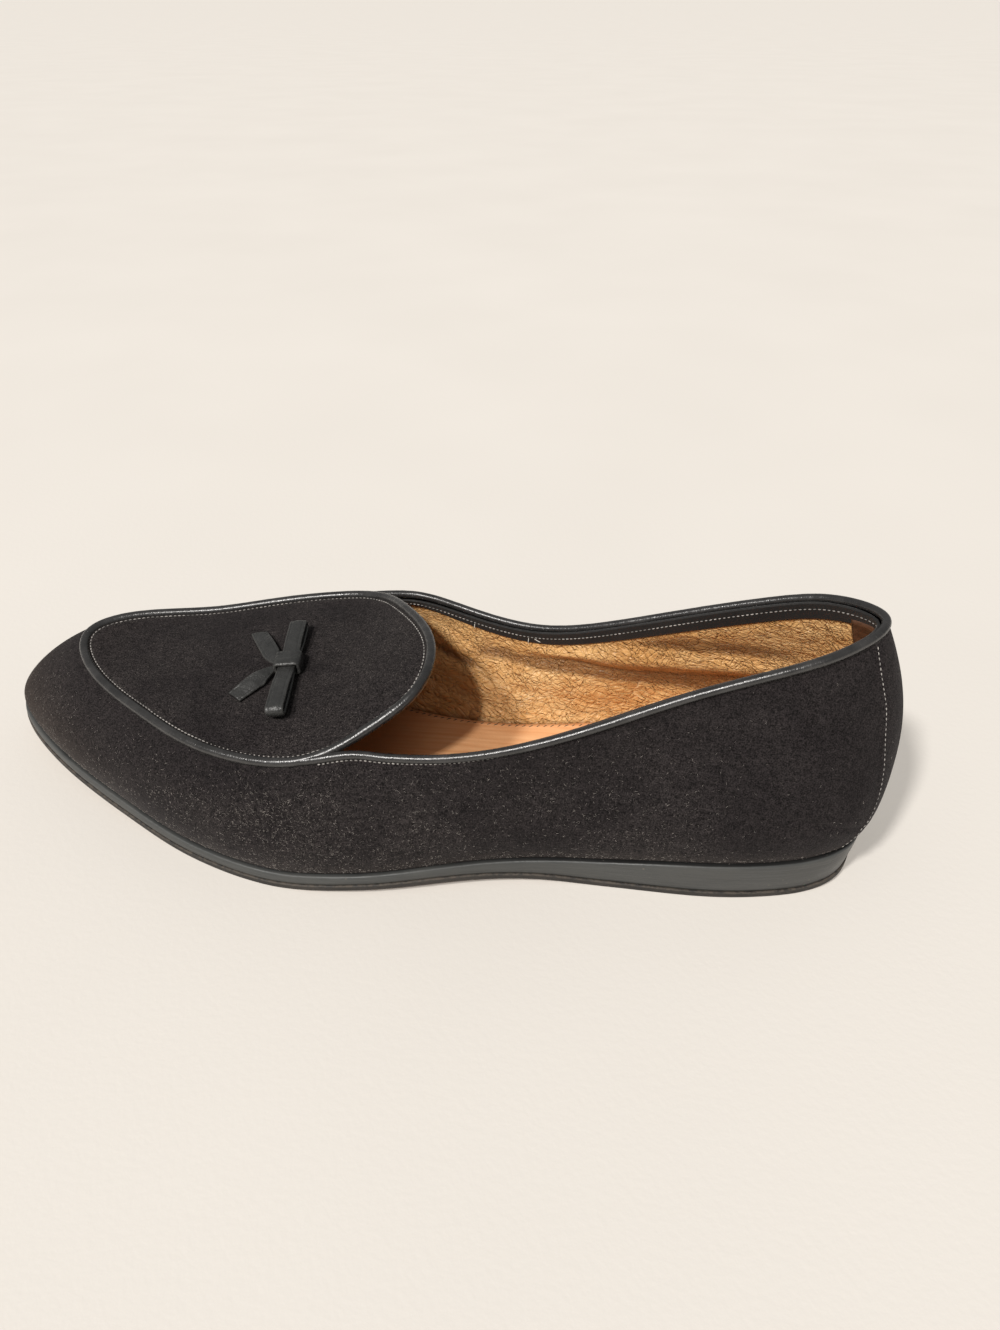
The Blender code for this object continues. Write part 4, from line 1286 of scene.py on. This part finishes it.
def add_midsole():
    rings = []
    # The dark mark is painted shade: full on the top face, and towards the heel on the upper half of the
    # rounded top edge, as the shadow under the overhanging suede; the lowest ring, at the wedge's foot, is
    # darkened too.
    dark = []
    heelward = smooth(150 * MM, 80 * MM, FEATHER[:, 0])
    chance = np.random.default_rng(5)
    uneven = np.convolve(chance.normal(0.0, 1.0, ROUND_COUNT + 8), np.ones(9) / 9, "valid")
    uneven = uneven[:, None] * 0.10 * MM
    for share in np.linspace(0.0, 1.0, 14):
        swell = 0.22 * MM * math.sin(math.pi * share)
        out = low_lip() * (1 - share) + SOLE_LIP * share + swell + uneven * share * (1 - share) * 3.0
        rings.append(
            ring_at(out, lambda x, s=share: midsole_bottom(x) * (1 - s) + (midsole_top(x) - SOLE_ROUND) * s)
        )
        dark.append(0.45 * (1.0 - smooth(0.0, 0.07, share)))
    for angle in np.radians((22, 45, 68, 90)):
        out = SOLE_LIP - SOLE_ROUND * (1.0 - math.cos(angle))
        rings.append(ring_at(out, lambda x, a=angle: midsole_top(x) - SOLE_ROUND * (1.0 - math.sin(a))))
        dark.append(heelward * 0.9 * smooth(0.7, 1.5, angle))
    rings.append(ring_at(-0.6 * MM, lambda x: midsole_top(x) - 0.05 * MM))
    dark.append(1.0)
    piece = add_plate("painted_midsole", rings, PAINTS["sole_edge"], {"dark": dark})
    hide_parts("midsole")


def add_outsole():
    edge = OUTSOLE_LIP + low_lip()
    rings = []
    for depth, height in [ring[0:2] for ring in OUTSOLE_RINGS]:
        rings.append(ring_at(edge - depth * MM, lambda x, h=height: ground(x) + h * MM))
    marks = {"worn": [ring[2] for ring in OUTSOLE_RINGS], "under": [ring[3] for ring in OUTSOLE_RINGS]}
    piece = add_plate("leather_bottom", rings, PAINTS["outsole"], marks)
    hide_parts("outsole")


def add_insole():
    inset = WALL / np.cos(np.radians(FORM[:, 0:1])) + 0.1 * MM
    edge = FEATHER - outward(FEATHER) * inset
    half = ROUND_COUNT // 2
    share = np.linspace(0.0, 1.0, 41)[:, None]
    rows = np.array([edge[i] + (edge[ROUND_COUNT - i] - edge[i]) * share for i in range(1, half)])
    across = np.linalg.norm(rows[:, -1] - rows[:, 0], axis=1)[:, None]
    gap = np.minimum(share, 1.0 - share)[None, :, 0] * across

    def face(lift, sink):
        points = [edge[0].copy(), rows.copy(), edge[half].copy()]
        for point in points:
            point[..., 2] = midsole_top(point[..., 0]) + GAP + lift
        points[1][:, :, 2] -= sink
        return points

    top = face(INSOLE, 0.5 * MM * smooth(2 * MM, 22 * MM, gap))
    shade = 0.85 * smooth(128 * MM, 158 * MM, rows[:, :, 0].ravel())
    marks = {"shade": np.tile(np.concatenate([[0.85], shade, [0.0]]), 2)}
    piece = add_sheet("insole_sock", top, face(0.0, 0.0), PAINTS["insole"], marks)
    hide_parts("insole")
    return edge


def add_insole_stitches(edge):
    inward = edge - outward(FEATHER) * 1.0 * MM
    inward[:, 2] = midsole_top(inward[:, 0]) + GAP + INSOLE + 0.02 * MM
    paint = PAINTS["dark_thread"]
    for name, low, high in (("inner", 14.0, 23.0), ("outer", 1.0, 10.0)):
        line = inward[(ROW > low) & (ROW < high)]
        ups = np.tile(UP, (len(line), 1))
        piece = add_stitches("insole_stitches_" + name, line, ups, 2.4 * MM, 1.9 * MM, 0.30 * MM, paint, 38.0)


# Fibres


LINT_COUNT = 5200


def add_lint(skin, normals):
    """Short pale fibres that lie on the suede, most of them low on the vamp and along the sole."""
    chance = np.random.default_rng(21)
    above = (skin[:, :, 2] - FEATHER[None, :, 2]) / MM
    chosen = patch_mark(skin, SUEDE_DUST) ** 1.3 + 2.2 * bell(above, 2.2) + 0.015
    area = np.linalg.norm(np.gradient(skin, axis=1), axis=2)
    area *= np.linalg.norm(np.gradient(skin, axis=0), axis=2)
    weight = (chosen * area)[2:-4].ravel()
    picks = chance.choice(len(weight), LINT_COUNT, p=weight / weight.sum())
    rings = grid_faces(3, 3) + end_faces(3, 3)
    points = []
    faces = []
    for pick in picks:
        row = pick // ROUND_COUNT + 2
        column = pick % ROUND_COUNT
        spot = skin[row, column] + chance.normal(0.0, 0.5 * MM, 3)
        up = normals[row, column]
        spot = spot - up * up.dot(spot - skin[row, column]) + up * 0.04 * MM
        aim = unit(np.cross(up, chance.normal(0.0, 1.0, 3)))
        side = np.cross(up, aim)
        long = chance.uniform(0.25, 0.85) * MM
        thick = chance.uniform(0.030, 0.065) * MM
        curl = chance.normal(0.0, 0.35) * long
        base = len(points)
        for share in (-1.0, 0.0, 1.0):
            middle = spot + aim * long / 2 * share + (side * curl + up * 0.05 * MM) * (1 - share**2)
            for turn in (0.0, 2.1, 4.2):
                points.append(middle + (side * math.cos(turn) + up * math.sin(turn)) * thick / 2)
        faces += [tuple(base + corner for corner in face) for face in rings]
    piece = add_mesh("lint_fibres", points, faces, PAINTS["lint"])


# Floor, light and camera


FLOOR_HALF = 400.0
SIGHT = 2000.0
LENS = 24.4
SENSOR = 36.0
CAMERA_SPOT = Vector((-62.3, 211.7, 211.6)) * MM
CAMERA_TARGET = Vector((-23.3, -30.2, 30.0)) * MM


def add_floor():
    mesh = bpy.data.meshes.new("floor")
    corners = [(x * FLOOR_HALF, y * FLOOR_HALF, 0.0) for x, y in ((-1, -1), (1, -1), (1, 1), (-1, 1))]
    mesh.from_pydata(corners, [], [(0, 1, 2, 3)])
    mesh.materials.append(floor_paint())
    floor = bpy.data.objects.new("floor", mesh)
    bpy.context.scene.collection.objects.link(floor)


Sun = namedtuple("Sun", "name travel strength angle colour")
SUNS = [
    Sun("key", (-0.133, -0.645, -0.753), 1.75, 3.5, (1.0, 0.965, 0.92)),
    Sun("side", (-0.366, -0.534, -0.763), 1.95, 5.5, (1.0, 0.975, 0.94)),
]
SKY = (0.95, 0.95, 0.94)
SKY_STRENGTH = 0.29


def add_light():
    bpy.context.scene.view_settings.view_transform = "Standard"
    for sun in SUNS:
        light = bpy.data.lights.new(sun.name, "SUN")
        light.energy = sun.strength
        light.angle = math.radians(sun.angle)
        light.color = sun.colour
        lamp = bpy.data.objects.new(sun.name, light)
        lamp.rotation_mode = "QUATERNION"
        lamp.rotation_quaternion = Vector(sun.travel).to_track_quat("-Z", "Y")
        bpy.context.scene.collection.objects.link(lamp)
    world = bpy.data.worlds.new("studio")
    world.use_nodes = True
    background = world.node_tree.nodes["Background"]
    background.inputs["Color"].default_value = (*SKY, 1.0)
    background.inputs["Strength"].default_value = SKY_STRENGTH
    bpy.context.scene.world = world


def add_camera():
    lens = bpy.data.cameras.new("camera")
    lens.lens = LENS
    lens.sensor_width = SENSOR
    lens.clip_start = 0.01
    lens.clip_end = SIGHT
    camera = bpy.data.objects.new("camera", lens)
    camera.location = CAMERA_SPOT
    camera.rotation_mode = "QUATERNION"
    camera.rotation_quaternion = (CAMERA_TARGET - CAMERA_SPOT).to_track_quat("-Z", "Y")
    bpy.context.scene.collection.objects.link(camera)
    bpy.context.scene.camera = camera


PAINTS = {
    "suede": suede_paint(),
    "piping": piping_paint(),
    "strap": strap_paint(),
    "lining": lining_paint(),
    "insole": insole_paint(),
    "facing": facing_paint(),
    "heel_patch": heel_patch_paint(),
    "sole_edge": edge_paint(),
    "outsole": outsole_paint(),
    "pale_thread": thread_paint("pale_thread", (0.15, 0.14, 0.13), (0.46, 0.43, 0.40)),
    "dark_thread": thread_paint("dark_thread", (0.012, 0.011, 0.011), (0.035, 0.032, 0.030)),
    "lint": thread_paint("lint", (0.20, 0.18, 0.16), (0.52, 0.47, 0.42)),
    "white_thread": thread_paint("white_thread", (0.50, 0.47, 0.42), (0.72, 0.68, 0.62)),
}


def main():
    add_camera()
    add_light()
    add_floor()
    skin, normals = add_suede()
    add_lining()
    add_facing()
    add_heel_patch()
    add_apron_piping()
    add_topline_piping()
    rows, ups = add_apron()
    add_apron_stitches(rows, ups)
    add_collar_stitches(skin, normals)
    add_facing_stitches()
    add_loose_ends()
    add_backstay_stitches(skin, normals)
    add_bow(rows)
    add_midsole()
    add_outsole()
    edge = add_insole()
    add_insole_stitches(edge)
    add_lint(skin, normals)


outsole_box = np.array([list(corner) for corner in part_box("outsole")])
outsole_ring = ring_at(low_lip() + OUTSOLE_LIP, ground)
SHIFT = (outsole_box.sum(0) - outsole_ring.min(0) - outsole_ring.max(0)) / 2 * (1, 1, 0)
main()
